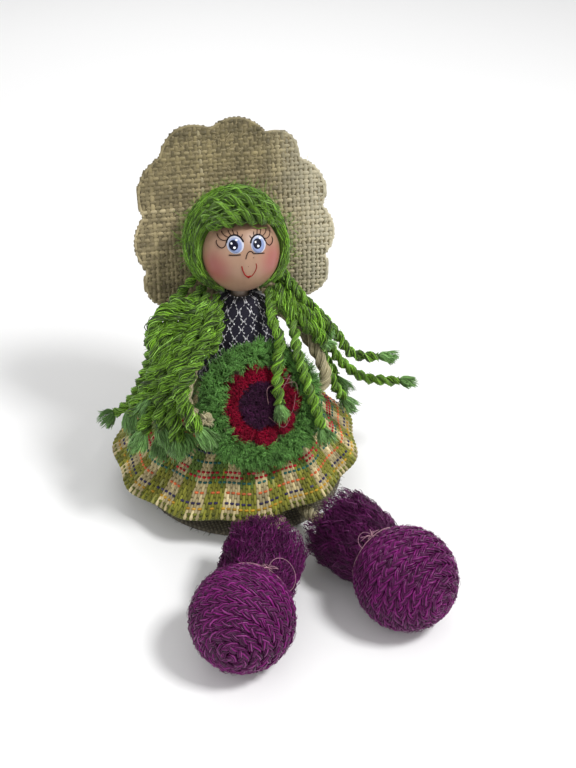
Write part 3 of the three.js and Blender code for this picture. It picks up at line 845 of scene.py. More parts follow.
class DOLL_OT_hat(bpy.types.Operator):
    """Make the scalloped burlap hat: real crossed threads on a ground darkened as painted shade"""
    bl_idname = "doll.make_hat"
    bl_label = "Hat"

    def stretches(self, outline, at, upright):
        """Where a straight thread at this place lies inside the outline."""
        across, along = (0, 1) if upright else (1, 0)
        cuts = []
        for a, b in zip(outline, outline[1:] + outline[:1]):
            if (a[across] - at) * (b[across] - at) < 0:
                share = (at - a[across]) / (b[across] - a[across])
                cuts.append(a[along] + (b[along] - a[along]) * share)
        cuts.sort()
        return [pair for pair in zip(cuts[::2], cuts[1::2]) if pair[1] - pair[0] > 3 * MM]

    def execute(self, context):
        rng = random.Random(7)
        outline = scallops()
        pitch, thread = sizes().burlap_pitch, sizes().burlap_thread
        count = int(HAT_RADIUS * 1.08 / pitch) + 1
        lines = []
        for upright in (False, True):
            for k in range(-count, count + 1):
                at = k * pitch + rng.uniform(-0.14, 0.14) * pitch
                sway = wander(rng, 0.6 * MM)
                for low, high in self.stretches(outline, at, upright):
                    first, last = math.ceil(low / pitch * 2), math.floor(high / pitch * 2)
                    line = []
                    for j in range(first, last + 1):
                        along = j * pitch / 2
                        lane = j // 2
                        over = 1 if (lane + k + upright) % 2 else -1
                        height = over * rng.uniform(0.45, 0.8) * MM if j % 2 == 0 else 0.0
                        aside = at + sway(along / (2 * HAT_RADIUS) + 0.5)
                        line.append((aside, height, along) if upright else (along, height, aside))
                    ends = (low, high)
                    start, stop = [(at, 0, end) if upright else (end, 0, at) for end in ends]
                    line = [start] + line[1:-1] + [stop]
                    if len(line) > 3:
                        lines.append([Vector(point) for point in line])
        mesh = fibres_mesh(lines, lambda line: thread * rng.uniform(0.85, 1.22), 1, 0.8)
        moved(mesh, lambda point: hat_bend(Vector((point.x, point.y * 0.6, point.z))))
        jute = fibre_material("hat_burlap", colours().burlap, 0.32, 0.5)
        # Painted shade and painted light on the hat: darker towards its top, paler towards its right side.
        painted_light_and_shade(jute, "Z", 135 * MM, 180 * MM, (0.62, 0.62, 0.55), 1)
        painted_light_and_shade(jute, "X", 22 * MM, 58 * MM, dye(214, 208, 184), 0.5)
        weave = finish_piece("hat_weave", mesh, jute, "torso", ())
        rim = [hat_bend(Vector((point.x * 0.985, 0, point.y * 0.985))) for point in outline]
        edge = fibres_mesh([rim + rim[:1]], 0.8 * MM, 2, 1)
        hem = finish_piece("hat_hem", edge, jute, "torso", ())
        ground = self.ground(outline)
        fuzz = self.fuzz(outline, rng)
        return {"FINISHED"}

    def ground(self, outline):
        """The dark cloth seen between the threads: the burlap colour darkened, painted shade in the gaps."""
        work = bmesh.new()
        rim = [work.verts.new((point.x * 0.985, 0, point.y * 0.985)) for point in outline]
        edges = [work.edges.new((rim[i], rim[(i + 1) % len(rim)])) for i in range(len(rim))]
        last = 1.0
        for share in (0.93, 0.8, 0.62, 0.42, 0.2):
            ring = bmesh.ops.extrude_edge_only(work, edges=edges)["geom"]
            edges = [item for item in ring if isinstance(item, bmesh.types.BMEdge)]
            for vertex in [item for item in ring if isinstance(item, bmesh.types.BMVert)]:
                vertex.co *= share / last
            last = share
        bmesh.ops.holes_fill(work, edges=edges, sides=0)
        bmesh.ops.triangulate(work, faces=[face for face in work.faces if len(face.verts) > 4])
        bmesh.ops.recalc_face_normals(work, faces=work.faces)
        bmesh.ops.solidify(work, geom=work.faces[:], thickness=0.5 * MM)
        bmesh.ops.recalc_face_normals(work, faces=work.faces)
        mesh = moved(to_mesh(work, "ground"), hat_bend)
        # Painted shade: the ground is the hat's burlap colour darkened, for the shade between its threads.
        dark = cloth_material("hat_ground", shaded(colours().burlap, 0.62), sizes().burlap_pitch)
        return finish_piece("hat_ground", mesh, dark, "torso", ["hat"])

    def fuzz(self, outline, rng):
        """Stray fibres that stand off the threads and the cut edge."""
        lines = []
        for _ in range(700):
            turn, out = rng.uniform(0, TURN), HAT_RADIUS * math.sqrt(rng.uniform(0.05, 0.86))
            start = Vector((out * math.cos(turn), rng.choice((-1, 1)) * 0.9 * MM, out * math.sin(turn)))
            way = Vector((rng.uniform(-1, 1), 0, rng.uniform(-1, 1))).normalized() * rng.uniform(1.5, 5) * MM
            lift = Vector((0, math.copysign(rng.uniform(0.3, 1.2) * MM, start.y), 0))
            points = (start, start + way * 0.5 + lift, start + way + lift * 0.6)
            lines.append([hat_bend(point) for point in points])
        pale = fibre_material("hat_fuzz", shaded(colours().burlap, 1.5), 0.3, 0.6)
        return finish_piece("hat_fuzz", fibres_mesh(lines, 0.09 * MM), pale, "torso", ())


# Head and face

CHEEKS = ((-15.2, -12.4, -5.2), (14.4, -13.4, -3.4))


def on_head(across, up, lift=0.1):
    """A point on the head's ball, in mm across and up in the face's own plane, in metres in the doll."""
    radius = HEAD_RADIUS / MM + lift
    depth = math.sqrt(max(0.0, radius * radius - across * across - up * up))
    return HEAD @ (Vector((across, -depth, up)) * MM)


class DOLL_OT_head(bpy.types.Operator):
    """Make the wooden ball head, its neck and its painted face"""
    bl_idname = "doll.make_head"
    bl_label = "Head and face"

    def execute(self, context):
        work = bmesh.new()
        bmesh.ops.create_uvsphere(work, u_segments=96, v_segments=64, radius=HEAD_RADIUS, matrix=HEAD)
        blushes = [HEAD @ (Vector(point) * MM) for point in CHEEKS]
        skin = skin_material("painted_skin", colours().skin, colours().cheek, blushes)
        finish_piece("head", to_mesh(work, "head"), skin, "torso", ["head_ball"])
        low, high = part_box("neck_dowel")
        middle = (low + high) / 2
        work = bmesh.new()
        bmesh.ops.create_cone(
            work, cap_ends=True, segments=48, radius1=(high.x - low.x) / 2, radius2=(high.x - low.x) / 2,
            depth=high.z - low.z, matrix=Matrix.Translation(middle)
        )
        neck = skin_material("neck_paint", dye(150, 140, 126), dye(140, 120, 110), [middle])
        finish_piece("neck", to_mesh(work, "neck"), neck, "torso", ["neck_dowel"])
        self.eyes()
        self.strokes()
        return {"FINISHED"}

    def oval(self, name, across, up, wide, tall, lift, material):
        """A thin oval of paint that follows the ball."""
        work = bmesh.new()
        bmesh.ops.create_circle(work, segments=40, radius=1.0)
        edges = work.edges[:]
        for share in (0.75, 0.5, 0.25):
            ring = bmesh.ops.extrude_edge_only(work, edges=edges)["geom"]
            edges = [item for item in ring if isinstance(item, bmesh.types.BMEdge)]
            for vertex in [item for item in ring if isinstance(item, bmesh.types.BMVert)]:
                vertex.co = vertex.co.normalized() * share
        bmesh.ops.holes_fill(work, edges=edges, sides=0)
        bmesh.ops.solidify(work, geom=work.faces[:], thickness=0.01)
        for vertex in work.verts:
            height = lift + (0.06 if vertex.co.z > -0.005 else 0.0)
            vertex.co = on_head(across + vertex.co.x * wide / 2, up + vertex.co.y * tall / 2, height)
        bmesh.ops.recalc_face_normals(work, faces=work.faces)
        return finish_piece(name, to_mesh(work, name), material, "torso", ())

    def eyes(self):
        white = paint_material("eye_white", dye(204, 206, 220))
        shine = paint_material("eye_shine", dye(246, 248, 252))
        iris = paint_material("iris", dye(134, 148, 188))
        deep = paint_material("pupil", dye(10, 13, 34))
        rims = paint_material("iris_rim", dye(168, 178, 210))
        for side, (x, z, wide, pupil) in {
            "right": (-4.8, 6.7, 8.1, (-5.7, 6.5)), "left": (6.5, 5.9, 7.8, (6.0, 6.3)),
        }.items():
            self.oval(f"eye_{side}", x, z, wide, 8.6, 0.04, white)
            self.oval(f"iris_rim_{side}", x - 0.1, z - 0.3, 6.7, 7.3, 0.12, rims)
            self.oval(f"iris_{side}", x - 0.1, z - 0.5, 5.9, 6.4, 0.2, iris)
            self.oval(f"pupil_{side}", *pupil, 4.3, 4.9, 0.28, deep)
            self.oval(f"glint_{side}", pupil[0] - 0.9, pupil[1] + 0.9, 0.9, 1.0, 0.36, shine)
            self.oval(f"glint_low_{side}", pupil[0] + 0.3, pupil[1] - 1.1, 1.3, 1.1, 0.36, shine)
            self.oval(f"glint_top_{side}", pupil[0] + 1.6, pupil[1] + 2.4, 1.3, 0.9, 0.36, shine)

    def stroke(self, points, wide, lift=0.16):
        """A line of paint through points (across, up) on the face."""
        smooth = even([Vector((x, z, 0)) for x, z in points], 0.35)
        return [on_head(point.x, point.y, lift) for point in smooth], wide * MM / 2

    def strokes(self):
        dark, red, brown = [], [], []
        for centre, wide, sign in (((-4.8, 6.7), 8.1, -1), ((6.5, 5.9), 7.8, 1)):
            x, z = centre
            lid = [(x + wide / 2 * math.cos(a), z + 4.4 * math.sin(a))
                   for a in (math.radians(t) for t in range(12, 169, 12))]
            dark.append(self.stroke(lid, 0.85))
            for curl in (
                ((4.0, 2.3), (5.1, 2.1), (6.5, 2.7), (7.5, 4.0), (7.6, 5.3)),
                ((2.9, 3.6), (4.2, 4.3), (5.2, 5.3), (5.5, 6.5)), ((1.3, 4.3), (2.1, 5.5), (2.5, 6.9)),
                ((-0.2, 4.5), (0.2, 5.8), (0.5, 7.0)), ((-1.5, 4.1), (-1.8, 5.2), (-1.5, 6.2)),
                ((-2.9, 3.1), (-3.7, 3.9), (-4.0, 4.7)),
            ):
                points = [(x + sign * dx * wide / 8.1, z + dz * 0.97) for dx, dz in curl]
                brown.append(self.stroke(points, 0.4))
            hook = [(x + sign * dx * wide / 8.1, z + dz) for dx, dz in (
                (3.8, 1.8), (4.6, -0.1), (5.7, -1.2), (6.9, -1.3), (8.1, -0.3), (8.5, 1.0), (8.2, 2.2),
            )]
            brown.append(self.stroke(hook, 0.5))
        brown.append(self.stroke([(-8.4, 2.0), (-5.5, 1.8), (-2.6, 1.9)], 0.55))
        brown.append(self.stroke([(3.4, 1.9), (6.5, 1.6), (9.4, 1.3)], 0.5))
        brown.append(self.stroke([(-0.4, -0.5), (0.3, 1.7), (1.4, 3.0), (2.7, 3.0), (3.6, 1.9)], 0.5))
        brown.append(self.stroke([(3.3, 0.0), (3.7, -0.2)], 0.4))
        brown.append(self.stroke([(0.5, -4.2), (0.9, -4.4)], 0.25))
        red.append(self.stroke([(-2.5, -3.7), (-2.0, -6.2), (-0.7, -8.8), (0.9, -9.9)], 0.58))
        red.append(self.stroke([(0.6, -9.9), (2.4, -9.4), (4.1, -7.2), (4.9, -4.9), (4.6, -3.0)], 0.38))
        red.append(self.stroke([(-0.3, -9.2), (0.9, -9.5), (1.9, -9.3), (0.9, -10.3), (-0.3, -9.3)], 0.42))
        for name, lines, tone in (
            ("face_lids", dark, dye(18, 16, 24)), ("face_lines", brown, colours().line),
            ("face_mouth", red, dye(148, 22, 24)),
        ):
            widths = {id(points): size for points, size in lines}
            mesh = fibres_mesh([points for points, _ in lines], lambda line: widths[id(line)], 1, 0.4)
            finish_piece(name, mesh, paint_material(name, tone), "torso", ())


# Hair

CAP_RADIUS = 28.2 * MM
CAP_BACK = 8 * MM
CAP_RISE = 3.5 * MM


def plait_taper(share):
    return 0.75 + 0.25 * min(1.0, share / 0.12)


class DOLL_OT_hair(bpy.types.Operator):
    """Make the hair on the head: locks that sweep round the face and the rolled fringe"""
    bl_idname = "doll.make_hair"
    bl_label = "Hair on the head"

    def execute(self, context):
        rng = random.Random(31)
        green = fibre_material("hair_green", colours().hair, 0.85, 0.34)
        # Painted shade: the hair mass under the locks is the hair colour darkened.
        self.mass(fibre_material("hair_under", shaded(colours().hair, 0.42), 0.4, 0.6))
        lines = []
        for lock in range(64):
            depth = -4.6 + 27 * (lock // 2 + rng.uniform(-0.4, 0.4)) / 32
            side = 1 if lock % 2 else -1
            lines += self.lock(depth * MM, side, rng)
        for _ in range(26):
            lines += self.face_lock(rng)
        lines += self.tangle(rng)
        mesh = fibres_mesh(lines, lambda line: sizes().fibre * rng.uniform(0.7, 1.15), 0, 0.5)
        finish_piece("hair_locks", mesh, green, "torso", ())
        self.fringe(green, rng)
        self.strays(rng)
        return {"FINISHED"}

    def mass(self, material):
        """The dense hair glued on the ball: the solid, merged and smoothed, drawn in under the locks."""
        work = bmesh.new()
        work.from_mesh(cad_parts["hair_cap"].data)
        bmesh.ops.remove_doubles(work, verts=work.verts, dist=1e-6)
        bmesh.ops.subdivide_edges(work, edges=work.edges[:], cuts=1, use_grid_fill=True)
        bmesh.ops.smooth_vert(
            work, verts=work.verts, factor=0.4, use_axis_x=True, use_axis_y=True, use_axis_z=True
        )
        bmesh.ops.recalc_face_normals(work, faces=work.faces)
        local = HEAD.inverted()
        for vertex in work.verts:
            point = local @ vertex.co
            point.x *= 0.88 if point.x > 0 else 0.93
            point.z = CAP_RISE + (point.z - CAP_RISE) * 0.96
            vertex.co = HEAD @ point
        finish_piece("hair_mass", to_mesh(work, "hair"), material, "torso", ["hair_cap"])

    def ring_radius(self, depth):
        return math.sqrt(max(0.0, CAP_RADIUS ** 2 - (depth - CAP_BACK) ** 2))

    def lock(self, depth, side, rng):
        """Fibres from the crown down one side, over the cap's round."""
        lines = []
        end = math.radians(rng.uniform(-62, -34))
        start = math.radians(92)
        sweep = rng.uniform(-3.5, 4.0) * MM
        lift = rng.uniform(-1.9, -0.1) * MM
        narrow = 0.96 if side < 0 else 0.9
        bend = wander(rng, 2.6 * MM)
        for _ in range(13):
            own = wander(rng, 0.75 * MM, (2.0, 6.0))
            spot = rng.uniform(-1.1, 1.1) * MM
            rise = rng.uniform(-0.7, 0.7) * MM + lift
            line = []
            for k in range(19):
                t = k / 18
                turn = start + (end - start) * t
                at = min(23.3 * MM, max(-5.4 * MM, depth + sweep * t + spot + bend(t)))
                radius = self.ring_radius(at) + rise + own(t) - 2.2 * MM * max(0.0, t - 0.7) / 0.3
                line.append(HEAD @ Vector((
                    side * narrow * radius * math.cos(turn), at, CAP_RISE + radius * math.sin(turn)
                )))
            lines.append(line)
        return lines

    def face_lock(self, rng):
        """Fibres down the edge of the hair beside the face."""
        side = rng.choice((-1, 1))
        radius = rng.uniform(21.0, 23.6) * MM
        depth = rng.uniform(-6.4, -4.2) * MM
        lines = []
        start, end = math.radians(rng.uniform(50, 62)), math.radians(rng.uniform(-52, -38))
        bend = wander(rng, 1.3 * MM)
        for _ in range(12):
            own, ahead = rng.uniform(-0.8, 0.8) * MM, rng.uniform(-0.6, 0.6) * MM
            crimp = wander(rng, 0.7 * MM, (2.0, 6.0))
            line = []
            for k in range(16):
                t = k / 15
                turn = start + (end - start) * t
                out = radius + own + bend(t) + crimp(t)
                line.append(HEAD @ Vector((
                    side * out * math.cos(turn), depth + ahead + 1.2 * crimp(1 - t),
                    out * math.sin(turn) + 1.5 * MM,
                )))
            lines.append(line)
        return lines

    def tangle(self, rng):
        """Loose fibres that run across the locks, with dark gaps left between them."""
        lines = []
        for _ in range(900):
            side = rng.choice((-1, 1))
            narrow = 0.98 if side < 0 else 0.92
            depth = rng.uniform(-6.8, 16) * MM
            start = math.radians(rng.uniform(-50, 88))
            reach, drift = math.radians(rng.uniform(12, 34)), rng.uniform(-5, 5) * MM
            out, crimp = rng.uniform(-0.9, 0.5) * MM, wander(rng, 1.0 * MM, (1.0, 4.0))
            line = []
            for k in range(8):
                t = k / 7
                at = max(-7.2 * MM, depth + drift * t + crimp(t))
                turn = max(math.radians(-62), start - reach * t)
                inside = 2.2 * MM * max(0.0, math.radians(-28) - turn) + 0.5 * MM
                radius = self.ring_radius(max(at, -5.4 * MM)) + out + 0.7 * crimp(1 - t) - inside
                line.append(HEAD @ Vector((
                    side * narrow * radius * math.cos(turn), at, CAP_RISE + radius * math.sin(turn)
                )))
            lines.append(line)
        return lines

    def fringe(self, material, rng):
        """Three twisted hanks rolled across the brow one above the other."""
        cores, lines = [], []
        for radius, tilt, span, spread, strand, lay, turn in (
            (24.8, 53, 43, 2.3, 2.8, 12, 0.4), (27.0, 68, 44, 2.4, 2.8, 13, 1.9), (27.6, 86, 40, 2.1, 2.5, 12, 0.0),
        ):
            out = Vector((0, -math.cos(math.radians(tilt)), math.sin(math.radians(tilt))))
            arc = []
            for k in range(13):
                around = math.radians(-span + 2 * span * k / 12)
                point = Vector((math.sin(around), 0, 0)) + out * math.cos(around)
                arc.append(HEAD @ (point * radius * MM))
            points = even(arc, 1.0 * MM)
            taper = lambda share: 0.25 + 0.75 * math.sin(math.pi * min(1, max(0, share))) ** 0.7
            middles, found = cord_strands(
                points, 2, spread * MM, strand * MM, lay * MM, 30, rng, taper, turn
            )
            cores += [(middle[5:-5], strand * 0.74 * MM) for middle in middles]
            for line in found:
                phase, size, rate = rng.uniform(0, TURN), rng.uniform(0.1, 0.6) * MM, rng.uniform(0.5, 1.1)
                way = Vector((rng.uniform(-1, 1), rng.uniform(-1, 1), rng.uniform(-1, 1)))
                lines.append([point + way * size * math.sin(phase + j * rate) for j, point in enumerate(line)])
            for _ in range(34):
                first = rng.randrange(2, len(points) - 9)
                way = Vector((rng.uniform(-1, 1), rng.uniform(-1, 0.2), rng.uniform(-0.6, 1))).normalized()
                bent = Vector((rng.uniform(-1, 1), rng.uniform(-1, 1), rng.uniform(-1, 1))) * 1.5 * MM
                lift = (spread + strand) * 0.96 * MM
                lines.append([points[first] + way * lift, points[first + 4] + way * lift + bent,
                              points[first + 8] + way * lift * 0.9])
        radii = {id(middle): size for middle, size in cores}
        core = fibres_mesh([middle for middle, _ in cores], lambda line: radii[id(line)], 2, 0.5)
        # Painted shade: the fringe's cores are the hair colour darkened, for the shade between its strands.
        deep = fibre_material("hair_deep", shaded(colours().hair, 0.36), 0.3, 0.6)
        finish_piece("fringe_core", core, deep, "torso", ["fringe_roll"])
        mesh = fibres_mesh(lines, lambda line: sizes().fibre * rng.uniform(0.7, 1.25), 0, 0.5)
        finish_piece("fringe_fibres", mesh, material, "torso", ())

    def strays(self, rng):
        """Thin hairs that stand away from the head."""
        lines = []
        for _ in range(420):
            turn, depth = rng.uniform(-0.6, math.pi + 0.6), rng.uniform(-5, 22) * MM
            radius = self.ring_radius(depth) + rng.uniform(-0.5, 1.2) * MM
            start = Vector((radius * math.cos(turn), depth, CAP_RISE + radius * math.sin(turn)))
            way = Vector((rng.uniform(-1, 1), rng.uniform(-1, 1), rng.uniform(-1, 1))).normalized()
            out = (start - Vector((0, CAP_BACK, CAP_RISE))).normalized()
            size = rng.uniform(2, 6) * MM
            lines.append([HEAD @ start, HEAD @ (start + way * size * 0.5 + out * 0.8 * MM),
                          HEAD @ (start + way * size + out * 1.1 * MM)])
        bright = fibre_material("hair_stray", shaded(colours().hair, 1.3), 0.4, 0.4)
        finish_piece("hair_strays", fibres_mesh(lines, sizes().stray), bright, "torso", ())


class DOLL_OT_plaits(bpy.types.Operator):
    """Make the twisted plaits, their brushed out ends and the loose crimped hank on the right"""
    bl_idname = "doll.make_plaits"
    bl_label = "Plaits"

    tufts = {
        "plait_left_front": (8, 5.6, 4), "plait_left_flower": (9, 6.0, 4), "plait_left_upper": (8, 6.0, 6),
        "plait_left_side": (12, 7.0, 5), "plait_left_lower": (8, 6.2, 4), "plait_left_back": (11, 7.0, 4),
        "plait_right_outer": (9, 8.0, 7), "plait_right_side": (13, 9.0, 6), "plait_right_lower": (13, 9.0, 6),
        "plait_right_long": (12, 8.5, 5), "plait_right_inner": (7, 4.0, 4),
    }

    def execute(self, context):
        green = fibre_material("plait_green", shaded(colours().hair, 1.25), 0.95, 0.32)
        # Painted shade: the plait and hank cores are the hair colour darkened, for the shade between the strands.
        deep = fibre_material("plait_deep", shaded(colours().hair, 0.36), 0.3, 0.6)
        brushed = fibre_material("tuft_green", colours().tuft, 0.6, 0.42)
        for number, (name, route) in enumerate(PLAITS.items()):
            rng = random.Random(100 + number)
            points = even(metres(route), 1.5 * MM)
            tail = self.tufts[name][2]
            body = points[:-tail]
            middles, lines = cord_strands(
                body, 2, sizes().plait_spread, sizes().plait_strand, sizes().plait_lay, 16, rng,
                plait_taper, rng.uniform(0, TURN)
            )
            core = fibres_mesh(middles, sizes().plait_strand * 0.82, 1, 0.6)
            finish_piece(f"{name}_core", core, deep, "torso", [name])
            lines += self.fluff(body, rng)
            mesh = fibres_mesh(lines, lambda line: sizes().fibre * rng.uniform(0.7, 1.2) * (
                0.45 if len(line) < 6 else 1), 0, 0.5)
            finish_piece(f"{name}_fibres", mesh, green, "torso", ())
            tuft = self.tuft(points, tail, *self.tufts[name][:2], rng)
            finish_piece(f"{name}_tuft", fibres_mesh(tuft, 0.17 * MM, 0, 0.5), brushed, "torso", ())
        self.hanks_of_hair(green, deep, brushed)
        return {"FINISHED"}

    def fluff(self, points, rng):
        """Short fibres that stand off the plait."""
        lines = []
        for _ in range(26):
            point = rng.choice(points[2:-2])
            way = Vector((rng.uniform(-1, 1), rng.uniform(-1, 1), rng.uniform(-1, 1))).normalized()
            start = point + way * 2.0 * MM
            bent = Vector((rng.uniform(-1, 1), rng.uniform(-1, 1), rng.uniform(-1, 1))) * 2 * MM
            lines.append([start, start + way * 1.4 * MM + bent * 0.4, start + way * 2.2 * MM + bent])
        return lines

    def tuft(self, points, tail, reach, flare, rng):
        """Fibres that swell out past the binding and curl in at their ends."""
        start, way = points[-tail], (points[-1] - points[-tail]).normalized()
        side, up = carried([start, start + way])[0]
        drift = Vector((rng.uniform(-1, 1), rng.uniform(-1, 1), rng.uniform(-0.6, 0.6))) * 2 * MM
        lines = []
        for clump in range(17):
            middle = rng.uniform(0, TURN)
            away = rng.random() ** 0.6
            curl = Vector((rng.uniform(-1, 1), rng.uniform(-1, 1), rng.uniform(-1, 0.7))) * 2.4 * MM
            tall = reach * rng.uniform(0.7, 1.12)
            phase, rate = rng.uniform(0, TURN), rng.uniform(5, 9)
            for _ in range(12):
                turn, out = middle + rng.uniform(-0.5, 0.5), min(1.0, away + rng.uniform(-0.2, 0.2))
                spoke = math.cos(turn) * side + math.sin(turn) * up
                over = math.cos(turn) * up - math.sin(turn) * side
                stretch = tall * rng.uniform(0.75, 1.05) * MM
                loose = Vector((rng.uniform(-1, 1), rng.uniform(-1, 1), rng.uniform(-1, 1))) * 0.9 * MM
                line = []
                for k in range(8):
                    t = k / 7
                    wide = (1.3 + (flare * 0.55 - 1.3) * math.sin(math.pi * 0.5 * min(1.0, t / 0.55))) * out
                    wave = math.sin(phase + t * rate) * 0.75 * MM * t
                    line.append(start + way * (stretch * t - 1.5 * MM) + spoke * (wide * MM) + over * wave
                                + (curl + loose + drift) * t * t)
                lines.append(line)
        return lines

    def hanks_of_hair(self, material, deep, brushed):
        """Crimped, loosely twisted hanks that fill the shoulders between the plaits."""
        for number, route in enumerate(HANKS):
            rng = random.Random(70 + number)
            points = even(metres(route), 1.5 * MM)
            body = points[:-4]
            middles, lines = cord_strands(
                body, 2, 1.8 * MM, 2.3 * MM, 17 * MM, 30, rng, plait_taper, rng.uniform(0, TURN)
            )
            crimped = []
            for line in lines:
                phase, size, rate = rng.uniform(0, TURN), rng.uniform(0.3, 1.5) * MM, rng.uniform(0.7, 1.5)
                way = Vector((rng.uniform(-1, 1), rng.uniform(-1, 1), rng.uniform(-1, 1)))
                crimped.append([
                    point + way * size * math.sin(phase + j * rate) for j, point in enumerate(line)
                ])
            name = f"hank_{number + 1}"
            core = fibres_mesh(middles, 1.5 * MM, 1, 0.6)
            finish_piece(f"{name}_core", core, deep, "torso", ())
            crimped += self.fluff(body, rng)
            mesh = fibres_mesh(crimped, lambda line: sizes().fibre * rng.uniform(0.6, 1.15) * (
                0.45 if len(line) < 6 else 1), 0, 0.4)
            finish_piece(f"{name}_fibres", mesh, material, "torso", ())
            tuft = self.tuft(points, 5, 11 if number < 6 else 5, 7.5 if number < 6 else 4, rng)
            finish_piece(f"{name}_tuft", fibres_mesh(tuft, 0.17 * MM, 0, 0.5), brushed, "torso", ())


# Flower

class DOLL_OT_flower(bpy.types.Operator):
    """Make the pile flower: leaf ring, petals, centre and the backing behind them"""
    bl_idname = "doll.make_flower"
    bl_label = "Flower"

    def execute(self, context):
        rng = random.Random(51)
        self.backing()
        green = fibre_material("leaf_pile", colours().leaf, 0.7, 0.5, 0.0, 0.05)
        crimson = fibre_material("petal_pile", colours().petal, 0.6, 0.6, 0.0, 0.0)
        purple = fibre_material("heart_pile", colours().heart, 0.7, 0.6, 0.0, 0.03)
        # Painted shade: each bed is its pile's colour darkened, for the shade under the pile.
        self.bed("leaf", 21.8, 32.0, 4.2, 0, shaded(colours().leaf, 0.36), "flower_leaf_ring", "flower_green")
        self.bed("petal", 11.9, 20.8, 4.0, 8, shaded(colours().petal, 0.5), "flower_petal_ring", "flower_crimson")
        self.bed("heart", 0, 11.4, 4.6, 0, shaded(colours().heart, 0.6), "flower_centre", "flower_purple")
        leaves = [line for _ in range(1050) for line in self.clump(rng, 21.0, 30.4, 5.6, 0.8, 1.1, 9)]
        finish_piece("leaf_fibres", fibres_mesh(leaves, 0.15 * MM, 0, 0.45), green, "torso", ())
        petals = [self.petal_blade(rng) for _ in range(7000)]
        finish_piece("petal_fibres", fibres_mesh(petals, 0.16 * MM, 0, 0.6), crimson, "torso", ())
        heart = [line for _ in range(260) for line in self.clump(rng, 0.3, 11.2, 3.0, 0.1, 0.5, 14)]
        finish_piece("heart_fibres", fibres_mesh(heart, 0.16 * MM, 0, 0.6), purple, "torso", ())
        self.strays(rng)
        return {"FINISHED"}

    def backing(self):
        work = revolved([(0, -8.3 * MM), (30 * MM, -8.3 * MM), (30.8 * MM, -7.9 * MM), (30.8 * MM, -6.7 * MM),
                         (30 * MM, -6.3 * MM), (0, -6.3 * MM)], 96)
        bmesh.ops.transform(work, matrix=FLOWER, verts=work.verts)
        jute = cloth_material("flower_backing", colours().natural, 1.3 * MM)
        finish_piece("backing", to_mesh(work, "backing"), jute, "torso", ["flower_backing"])

    def bed(self, name, inner, outer, thick, lobes, tone, node, slot):
        """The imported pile's body under its fibres: a ring, or a dome when it has no inner radius."""
        profile = [] if inner else [(0, -6 * MM)]
        for k in range(9):
            a = math.pi * k / 8 if inner else math.pi * k / 16
            radius = inner + (outer - inner) * (1 + math.cos(a)) / 2 if inner else outer * math.cos(a)
            profile.append((radius * MM, (-6 + thick * math.sqrt(math.sin(a))) * MM))
        work = bmesh.new()
        rim = [work.verts.new((radius, 0, height)) for radius, height in profile]
        edges = [work.edges.new((rim[i], rim[(i + 1) % len(rim)])) for i in range(len(rim))]
        bmesh.ops.spin(
            work, geom=rim + edges, axis=(0, 0, 1), cent=(0, 0, 0), angle=TURN, steps=96, use_merge=True
        )
        bmesh.ops.remove_doubles(work, verts=work.verts, dist=1e-6)
        for vertex in work.verts:
            turn = math.atan2(vertex.co.y, vertex.co.x)
            radius = math.hypot(vertex.co.x, vertex.co.y)
            size = 1 - 0.07 * (1 - math.cos(lobes * turn)) * (radius / MM - inner) / (outer - inner) if lobes else 1
            vertex.co.x *= size
            vertex.co.y *= size
        bmesh.ops.recalc_face_normals(work, faces=work.faces)
        bmesh.ops.transform(work, matrix=FLOWER, verts=work.verts)
        material = fibre_material(f"{name}_bed", tone, 0.2, 0.8)
        finish_piece(f"{name}_bed", to_mesh(work, name), material, "torso", [node])

    def clump(self, rng, inner, outer, tall, lean, mess, count):
        """Fibres of pile that grow near each other and share a tip, leaning outward toward the rim."""
        turn = rng.uniform(0, TURN)
        radius = math.sqrt(rng.uniform(inner ** 2, outer ** 2))
        share = (radius - inner) / (outer - inner)
        crown = math.sqrt(max(0.0, math.sin(math.pi * (0.12 + 0.82 * share)))) if inner > 5 else 1
        spoke = Vector((math.cos(turn), math.sin(turn), 0))
        root = spoke * radius + Vector((0, 0, -5.2 + 3.4 * crown))
        way = spoke * lean * (share - 0.12) * 1.6 + Vector((0, 0, 1 - 0.45 * lean * share))
        way += Vector((rng.uniform(-1, 1), rng.uniform(-1, 1), rng.uniform(-0.4, 0.4))) * 0.7 * mess
        tip = root + way.normalized() * tall * rng.uniform(0.7, 1.0)
        lines = []
        for _ in range(count):
            start = root + Vector((rng.gauss(0, 0.8), rng.gauss(0, 0.8), 0))
            end = tip + Vector((rng.gauss(0, 0.75), rng.gauss(0, 0.75), rng.uniform(-0.9, 0.3)))
            middle = start.lerp(end, 0.55) + Vector((rng.gauss(0, 0.3), rng.gauss(0, 0.3), 0.3))
            for point in (middle, end):
                point.z = min(point.z, 1.6)
            lines.append([FLOWER @ (point * MM) for point in (start, middle, end)])
        return lines

    def petal_blade(self, rng):
        """One fibre of a petal; the petals' outer edge waves, and a groove parts each from the next."""
        turn = rng.uniform(0, TURN)
        wave = math.cos(8 * turn)
        outer = 20.0 + 1.9 * wave
        radius = math.sqrt(rng.uniform(11.6 ** 2, outer ** 2))
        share = (radius - 11.6) / (outer - 11.6)
        groove = 1 - 0.8 * max(0.0, -wave) ** 4
        spoke = Vector((math.cos(turn), math.sin(turn), 0))
        root = spoke * radius + Vector((0, 0, -4.6 + 2.4 * math.sin(math.pi * (0.2 + 0.7 * share))))
        way = spoke * (share - 0.35) * 0.9 + Vector((0, 0, 1))
        way += Vector((rng.uniform(-1, 1), rng.uniform(-1, 1), 0)) * 0.45
        size = 3.1 * groove * rng.uniform(0.7, 1.05)
        bent = Vector((rng.uniform(-1, 1), rng.uniform(-1, 1), 0)) * 0.6
        found = [root, root + way.normalized() * size * 0.6, root + way.normalized() * size + bent * groove]
        return [FLOWER @ (point * MM) for point in found]

